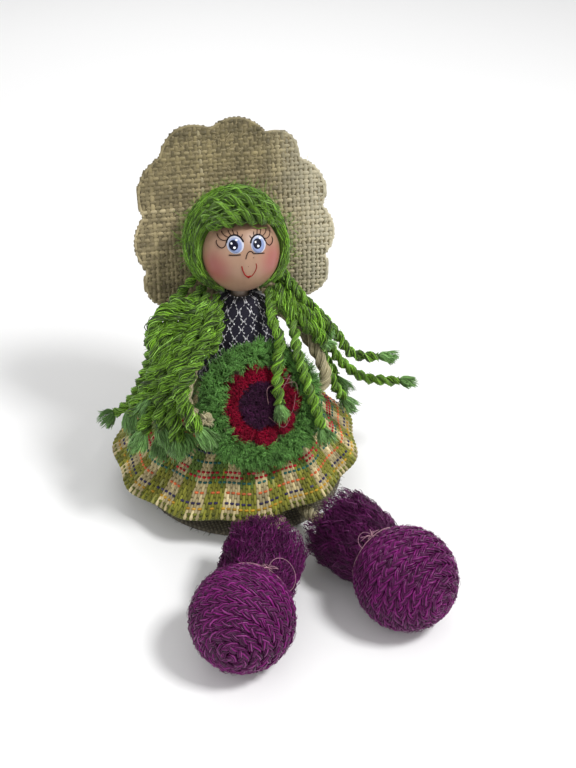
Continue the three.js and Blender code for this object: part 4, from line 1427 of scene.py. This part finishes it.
    def strays(self, rng):
        """A few long pale hairs that lie over the petals."""
        lines = []
        for start, end, bulge in (
            ((8, 2), (17, 12), (3, 5)), ((5, -4), (18, 3), (2, -6)), ((9, 8), (19, 2), (4, 4)),
            ((2, -6), (13, -9), (1, -5)), ((6, 12), (16, 6), (5, 2)), ((3, 0), (10, 9), (-3, 4)),
        ):
            a, b = Vector((*start, 1.2)), Vector((*end, 1.4))
            middle = (a + b) / 2 + Vector((*bulge, 1.0))
            lines.append([FLOWER @ (point * MM) for point in even([a, middle, b], 1.0)])
        pale = fibre_material("pale_hair", dye(196, 150, 150), 0.2, 0.5)
        finish_piece("flower_strays", fibres_mesh(lines, 0.1 * MM), pale, "torso", ())


# Arms and legs

class DOLL_OT_limbs(bpy.types.Operator):
    """Make the natural cord arms, knotted hands and legs"""
    bl_idname = "doll.make_limbs"
    bl_label = "Arms, hands and legs"

    def cord(self, name, points, radius, body, node, material, deep, rng):
        """A three strand cord: a core for each strand and its fibres."""
        strand, spread = radius * 0.52, radius * 0.5
        middles, lines = cord_strands(points, 3, spread, strand, sizes().arm_lay, 13, rng)
        core = fibres_mesh(middles, strand * 0.84, 1, 0.7)
        finish_piece(f"{name}_core", core, deep, body, [node])
        for _ in range(30):
            point = rng.choice(points[1:-1])
            way = Vector((rng.uniform(-1, 1), rng.uniform(-1, 1), rng.uniform(-1, 1))).normalized()
            lines.append([point + way * radius * 0.9, point + way * radius * 1.15, point + way * radius * 1.3])
        mesh = fibres_mesh(lines, lambda line: 0.2 * MM * rng.uniform(0.7, 1.2) * (
            0.5 if len(line) == 3 else 1), 0, 0.6)
        finish_piece(f"{name}_fibres", mesh, material, body, ())

    def execute(self, context):
        rng = random.Random(61)
        natural = fibre_material("natural_fibre", colours().natural, 0.3, 0.6)
        # Painted shade: the cord cores are the natural fique darkened, for the shade between the strands.
        deep = fibre_material("natural_deep", shaded(colours().natural, 0.6), 0.2, 0.7)
        for side, route in ARMS.items():
            points = even(metres(route), 1.3 * MM)
            self.cord(f"arm_{side}", points[2:], 3.3 * MM, "torso", f"arm_{side}", natural, deep, rng)
            self.hand(side, natural, deep, rng)
        for side in LEGS:
            self.leg(side, natural, deep, rng)
        return {"FINISHED"}

    def leg(self, side, natural, deep, rng):
        """One soft cord from the body into the boot, parted halfway between joints."""
        shape = LEGS[side]
        turn = math.radians(shape["toe_out"])

        def at(distance, height):
            x, y = shape["ball"]
            return Vector((x - math.sin(turn) * distance, y + math.cos(turn) * distance, height)) * MM
        mouth, swing = at(CUFF_MOUTH / MM, 20.5), at(CUFF_MOUTH / MM + shape["reach"], 12.5)
        spread = at(CUFF_MOUTH / MM + shape["reach"] + 8.5, 12.5)
        centre, axis = boot_axis(side)
        inside, sewn = centre + axis * 11 * MM, spread + Vector((0, 18, 0)) * MM
        route = [sewn, spread + Vector((0, 6, 0)) * MM, spread, swing, (swing + mouth) / 2, mouth,
                 mouth.lerp(inside, 0.5), inside]
        points = even(route, 1.0 * MM)
        strand = 3.5 * MM * 0.52
        middles, lines = cord_strands(points, 3, 3.5 * MM * 0.5, strand, sizes().leg_lay, 13, rng)

        def nearest(place):
            return min(range(len(points)), key=lambda j: (points[j] - place).length)
        seams = [0, nearest((spread + swing) / 2), nearest((swing + mouth) / 2), len(points) - 1]
        parts = (
            ("hip", spread, ("torso", f"hip_{side}"), [f"leg_root_{side}"], 3.4, 3.4),
            ("thigh", swing, (f"hip_{side}", f"leg_{side}"), [f"leg_link_{side}", f"leg_{side}"], 3.8, 7.5),
            ("ankle", mouth, (f"leg_{side}", f"boot_{side}"), [f"ankle_cord_{side}"], 4.5, 4.5),
        )
        for number, (name, joint, bodies, nodes, before, after) in enumerate(parts):
            first, last = seams[number], seams[number + 1] + 1
            core = fibres_mesh([middle[first:last] for middle in middles], strand * 0.84, 1, 1)
            mesh = fibres_mesh([line[first:last] for line in lines], 0.2 * MM, 0, 1)
            for piece in (
                finish_piece(f"leg_{side}_{name}_core", core, deep, None, nodes),
                finish_piece(f"leg_{side}_{name}_fibres", mesh, natural, None, ()),
            ):
                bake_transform(piece)

    def hand(self, side, natural, deep, rng):
        """An overhand knot on the arm's end, with short fibres standing off it."""
        low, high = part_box(f"hand_{side}")
        centre = (low + high) / 2
        knot = []
        for k in range(49):
            t = TURN * k / 48
            out = 2.0 + 0.85 * math.cos(3 * t)
            knot.append(centre + Vector((out * math.cos(2 * t), 1.25 * math.sin(3 * t), out * math.sin(2 * t))) * MM)
        middles, lines = cord_strands(even(knot, 0.8 * MM), 2, 0.62 * MM, 0.68 * MM, 6 * MM, 9, rng)
        core = fibres_mesh(middles, 0.6 * MM, 1, 0.8)
        finish_piece(f"hand_{side}_core", core, deep, "torso", [f"hand_{side}"])
        for _ in range(70):
            way = Vector((rng.uniform(-1, 1), rng.uniform(-1, 1), rng.uniform(-1, 1))).normalized()
            start = centre + way * 3.0 * MM
            lines.append([start, start + way * 1.2 * MM, start + way * 1.8 * MM + Vector((0, 0, -0.9 * MM))])
        mesh = fibres_mesh(lines, lambda line: 0.17 * MM * (0.6 if len(line) == 3 else 1), 0, 0.5)
        finish_piece(f"hand_{side}_fibres", mesh, natural, "torso", ())


# Boots

BOOT_RADIUS = 24.6 * MM
BOOT_HEIGHT = 24.1 * MM
CUFF_START = 17.4 * MM
CUFF_MOUTH = 50.8 * MM
CUFF_RADIUS = 20.6 * MM
CUFF_SHARES = [(0, 0.8), (0.14, 0.87), (0.35, 1), (0.7, 1), (1, 0.95)]


def boot_axis(side):
    """The ball's middle and the direction from it to the middle of the cuff's mouth."""
    leg = LEGS[side]
    x, y = leg["ball"]
    turn = math.radians(leg["toe_out"])
    centre = Vector((x * MM, y * MM, BOOT_HEIGHT))
    mouth = Vector((centre.x - math.sin(turn) * CUFF_MOUTH, centre.y + math.cos(turn) * CUFF_MOUTH, 20.5 * MM))
    return centre, (mouth - centre).normalized()


def floored(mesh):
    """Presses what would go under the floor flat onto it."""
    return moved(mesh, lambda point: Vector((point.x, point.y, max(point.z, 0.05 * MM))))


class DOLL_OT_boots(bpy.types.Operator):
    """Make the braided ball boots with their frayed cuffs and thread ties"""
    bl_idname = "doll.make_boots"
    bl_label = "Boots"

    def execute(self, context):
        braid = fibre_material("boot_braid", colours().boot, 0.62, 0.3, 0.0, 0.03)
        # Painted shade: the braid's cores are the boot colour darkened, for the shade between the strands.
        deep = fibre_material("boot_deep", shaded(colours().boot, 0.45), 0.3, 0.7)
        frayed = fibre_material("cuff_fibre", colours().cuff, 0.8, 0.36, 0.0, 0.05)
        # Painted shade: the sleeve under the frayed fibres is the cuff colour darkened.
        inner = fibre_material("cuff_deep", shaded(colours().cuff, 0.4), 0.3, 0.8)
        wool = cloth_material("wadding", dye(226, 222, 210), 1.0 * MM)
        pink = fibre_material("pink_thread", colours().thread, 0.15, 0.45)
        for number, side in enumerate(LEGS):
            rng = random.Random(200 + number)
            centre, axis = boot_axis(side)
            self.wadding(side, centre, wool)
            self.braid(side, centre, axis, braid, deep, rng)
            self.cuff(side, centre, axis, frayed, inner, rng)
            self.tie(side, centre, axis, pink, rng)
        return {"FINISHED"}

    def wadding(self, side, centre, material):
        work = bmesh.new()
        bmesh.ops.create_icosphere(work, subdivisions=4, radius=20.6 * MM, matrix=Matrix.Translation(centre))
        name = f"boot_wadding_{side}"
        finish_piece(name, to_mesh(work, name), material, f"boot_{side}", [f"boot_core_{side}"])

    def braid(self, side, centre, axis, material, deep, rng):
        """A flat braid wound round the ball from the toe to the ankle."""
        base = 22.9 * MM
        row = sizes().braid_row
        end = math.radians(150)
        first = axis.orthogonal().normalized()
        second = axis.cross(first)
        per_turn = row / base
        route, polar = [], 0.012
        around = 0.0
        while polar < end:
            route.append((polar, around))
            step = 1.3 * MM / (base * max(0.08, math.sin(polar)))
            around += step
            polar += per_turn * step / TURN
        lay = sizes().braid_lay
        cores, lines, ring = [], [], 8

        def spot(polar, around, out):
            way = -axis * math.cos(polar) + math.sin(polar) * (math.cos(around) * first + math.sin(around) * second)
            return way * out
        for ply in range(3):
            middle = []
            for j, (polar, around) in enumerate(route):
                phase = TURN * (j * 1.3 * MM / lay + ply / 3)
                aside = 1.6 * MM * math.sin(phase) / base
                lift = 0.7 * MM * math.sin(2 * phase)
                middle.append(spot(max(0.002, polar + aside), around, base + lift))
            cores.append([centre + point for point in middle])
            sides = carried(middle)
            for k in range(ring):
                turn, drift = TURN * k / ring + rng.uniform(-0.2, 0.2), rng.uniform(-0.35, 0.35)
                reach = sizes().braid_strand * rng.uniform(0.82, 1.0)
                line = []
                for j, point in enumerate(middle):
                    own = turn + drift * math.sin(j * 0.11 + k)
                    over, up = sides[j]
                    line.append(centre + point + reach * (math.cos(own) * over + math.sin(own) * up))
                lines.append(line)
        name = f"boot_{side}"
        core = floored(fibres_mesh(cores, sizes().braid_strand * 0.86, 1, 0.8))
        finish_piece(f"{name}_braid_core", core, deep, name, [f"boot_cover_{side}"])
        mesh = floored(fibres_mesh(lines, lambda line: 0.4 * MM * rng.uniform(0.75, 1.2), 0, 0.8))
        finish_piece(f"{name}_braid", mesh, material, name, ())
        strays = []
        for _ in range(320):
            way = Vector((rng.uniform(-1, 1), rng.uniform(-1, 1), rng.uniform(-1, 1))).normalized()
            if way.dot(axis) > 0.7 or way.z < -0.8:
                continue
            across = way.cross(Vector((rng.uniform(-1, 1), rng.uniform(-1, 1), rng.uniform(-1, 1)))).normalized()
            start = centre + way * BOOT_RADIUS
            size = rng.uniform(2, 6) * MM
            strays.append([start - way * 0.6 * MM, start + across * size * 0.4 + way * 0.8 * MM,
                           start + across * size * 0.8 + way * 0.9 * MM, start + across * size - way * 0.2 * MM])
        fuzz = floored(fibres_mesh(strays, sizes().stray))
        finish_piece(f"{name}_strays", fuzz, material, name, ())

    def cuff(self, side, centre, axis, material, inner, rng):
        """A sleeve under short frayed fibres that all point to the mouth."""
        first = axis.orthogonal().normalized()
        second = axis.cross(first)
        span = CUFF_MOUTH - CUFF_START
        profile = [(6 * MM, CUFF_START + 5 * MM)]
        profile += [(CUFF_RADIUS * wide * 0.82, CUFF_START + span * back * 0.94) for back, wide in CUFF_SHARES]
        profile += [(6.2 * MM, CUFF_START + span * 0.92)]
        work = bmesh.new()
        rim = [work.verts.new((radius, 0, height)) for radius, height in profile]
        edges = [work.edges.new((rim[i], rim[(i + 1) % len(rim)])) for i in range(len(rim))]
        bmesh.ops.spin(
            work, geom=rim + edges, axis=(0, 0, 1), cent=(0, 0, 0), angle=TURN, steps=64, use_merge=True
        )
        bmesh.ops.remove_doubles(work, verts=work.verts, dist=1e-6)
        bmesh.ops.recalc_face_normals(work, faces=work.faces)
        turn = Matrix.Translation(centre) @ axis.to_track_quat("Z", "Y").to_matrix().to_4x4()
        bmesh.ops.transform(work, matrix=turn, verts=work.verts)
        name = f"boot_{side}"
        sleeve = floored(to_mesh(work, "sleeve"))
        finish_piece(f"{name}_sleeve", sleeve, inner, name, [f"boot_cuff_{side}"])
        lines = []
        for _ in range(5200):
            around, back = rng.uniform(0, TURN), max(0.0, rng.uniform(-0.04, 0.94))
            reach = rng.uniform(3, 8.5) * MM
            spoke = math.cos(around) * first + math.sin(around) * second
            over = spoke.cross(axis)
            clump = math.sin(around * 9 + back * 14) + math.sin(around * 5 - back * 23)
            sway = (rng.uniform(-1.9, 1.9) + clump * 1.1) * MM
            lift = (rng.uniform(-0.2, 2.6) + clump * 0.4) * MM
            kink = rng.uniform(-1.7, 1.7) * MM
            line = []
            for k in range(4):
                t = k / 3
                at = back + reach * t / span
                radius = CUFF_RADIUS * blended(CUFF_SHARES, min(1.0, at)) * 0.85 + lift * math.sin(math.pi * 0.72 * t)
                radius += 2.2 * MM * max(0.0, at - 0.55) * (1 + 0.5 * clump)
                along = min(CUFF_START + span * at, CUFF_MOUTH + 2.5 * MM)
                bent = over * (sway * t + kink * math.sin(math.pi * 2 * t))
                line.append(centre + axis * along + spoke * radius + bent)
            lines.append(line)
        mesh = floored(fibres_mesh(lines, lambda line: 0.18 * MM * rng.uniform(0.55, 1.2), 0, 0.4))
        finish_piece(f"{name}_frayed", mesh, material, name, ())

    def tie(self, side, centre, axis, material, rng):
        """Thread wound round the joint, with a knot and a loose loop."""
        first = axis.cross(Vector((0, 0, 1))).normalized()
        second = first.cross(axis)
        lines = []
        for wind in range(2):
            line = []
            sway, dip = wander(rng, 1.6 * MM), wander(rng, 0.9 * MM)
            for k in range(61):
                around = TURN * k / 60
                spoke = math.cos(around) * first + math.sin(around) * second
                along = CUFF_START + (1.2 + 0.5 * wind) * MM + sway(k / 60)
                line.append(centre + axis * along + spoke * (16.9 * MM + dip(k / 60)))
            lines.append(line)
        mark = 1.15 if side == "right" else 1.9
        knot = math.cos(mark) * first + math.sin(mark) * second
        start = centre + axis * (CUFF_START + 1.4 * MM) + knot * 17.9 * MM
        over = knot.cross(axis)
        for _ in range(11):
            bent = over * rng.uniform(-1, 1) + axis * rng.uniform(-0.8, 0.7) + knot * rng.uniform(-0.1, 0.35)
            end = start + bent.normalized() * rng.uniform(2, 6) * MM
            side_way = over * rng.uniform(-1.5, 1.5) * MM
            lines.append(even([start, (start + end) / 2 + knot * 0.9 * MM + side_way, end], 0.8 * MM))
        size, aside = (9.0, -7.5) if side == "right" else (4.0, 3.5)
        loop = []
        for k in range(19):
            t = math.pi * 1.2 * k / 18
            loop.append(start + axis * size * math.sin(t) * MM + over * aside * (1 - math.cos(t)) * MM
                        + knot * (1.6 + 1.2 * math.sin(t) - 1.5 * (1 - math.cos(t))) * MM)
        lines.append(loop)
        mesh = fibres_mesh(lines, 0.13 * MM, 0, 0.8)
        finish_piece(f"ankle_thread_{side}", mesh, material, f"boot_{side}", [f"ankle_tie_{side}"])


# Stage

class DOLL_OT_stage(bpy.types.Operator):
    """Make the camera, the lamps, the floor and the white surroundings"""
    bl_idname = "doll.make_stage"
    bl_label = "Stage"

    def execute(self, context):
        scene = context.scene
        camera = bpy.data.objects.new("camera", bpy.data.cameras.new("camera"))
        camera.location = Vector((-148.1, -455.7, 419.8)) * MM
        camera.rotation_euler = Vector((0.2468, 0.7595, -0.6018)).to_track_quat("-Z", "Y").to_euler()
        camera.data.lens = 52.2
        camera.data.sensor_width = 36
        camera.data.shift_x = 47 / 768
        camera.data.clip_start = 0.01
        scene.collection.objects.link(camera)
        scene.camera = camera
        work = bmesh.new()
        bmesh.ops.create_grid(work, x_segments=1, y_segments=1, size=3.0)
        floor = bpy.data.objects.new("floor", to_mesh(work, "floor"))
        material, _, _, surface, _ = shader("floor_white", 0.9)
        surface.inputs["Base Color"].default_value = (0.9, 0.9, 0.9, 1)
        floor.data.materials.append(material)
        scene.collection.objects.link(floor)
        world = bpy.data.worlds.new("surroundings")
        scene.world = world
        world.use_nodes = True
        nodes, links = world.node_tree.nodes, world.node_tree.links
        plain = nodes["Background"]
        plain.inputs["Color"].default_value = (1, 1, 1, 1)
        plain.inputs["Strength"].default_value = 0.56
        seen = nodes.new("ShaderNodeBackground")
        seen.inputs["Strength"].default_value = 1.0
        rays = nodes.new("ShaderNodeLightPath")
        choose = nodes.new("ShaderNodeMixShader")
        links.new(rays.outputs["Is Camera Ray"], choose.inputs["Fac"])
        links.new(plain.outputs[0], choose.inputs[1])
        links.new(seen.outputs[0], choose.inputs[2])
        links.new(choose.outputs[0], nodes["World Output"].inputs["Surface"])
        for name, place, power, size in (
            ("key", (0.45, -0.45, 1.0), 9.5, 0.25), ("fill", (-0.7, -0.4, 0.6), 1.4, 0.8),
            ("back", (0.1, 0.7, 0.7), 2.0, 0.6),
        ):
            lamp = bpy.data.objects.new(name, bpy.data.lights.new(name, "AREA"))
            lamp.data.energy = power
            lamp.data.size = size
            lamp.location = place
            lamp.rotation_euler = (Vector((0, 0, 0.08)) - Vector(place)).to_track_quat("-Z", "Y").to_euler()
            scene.collection.objects.link(lamp)
        scene.view_settings.view_transform = "Standard"
        return {"FINISHED"}


class DOLL_PT_sidebar(bpy.types.Panel):
    """The doll's pieces, colours and sizes"""
    bl_idname = "DOLL_PT_sidebar"
    bl_label = "Fique doll"
    bl_space_type = "VIEW_3D"
    bl_region_type = "UI"
    bl_category = "Fique doll"

    def draw(self, context):
        for operator in OPERATORS:
            self.layout.operator(operator.bl_idname)
        for group in (context.scene.doll_sizes, context.scene.doll_colours):
            column = self.layout.column()
            for name in group.bl_rna.properties.keys():
                if name not in ("rna_type", "name"):
                    column.prop(group, name)


OPERATORS = (
    DOLL_OT_stage, DOLL_OT_base, DOLL_OT_bodice, DOLL_OT_skirt, DOLL_OT_head, DOLL_OT_hair,
    DOLL_OT_hat, DOLL_OT_plaits, DOLL_OT_flower, DOLL_OT_limbs, DOLL_OT_boots,
)
CLASSES = (DollSizes, DollColours, *OPERATORS, DOLL_PT_sidebar)


def register():
    for kind in CLASSES:
        bpy.utils.register_class(kind)
    bpy.types.Scene.doll_sizes = PointerProperty(type=DollSizes)
    bpy.types.Scene.doll_colours = PointerProperty(type=DollColours)


def unregister():
    del bpy.types.Scene.doll_sizes
    del bpy.types.Scene.doll_colours
    for kind in reversed(CLASSES):
        bpy.utils.unregister_class(kind)


def main():
    register()
    for operator in OPERATORS:
        group, name = operator.bl_idname.split(".")
        getattr(getattr(bpy.ops, group), name)()
    bpy.context.view_layer.update()


if __name__ == "__main__":
    main()
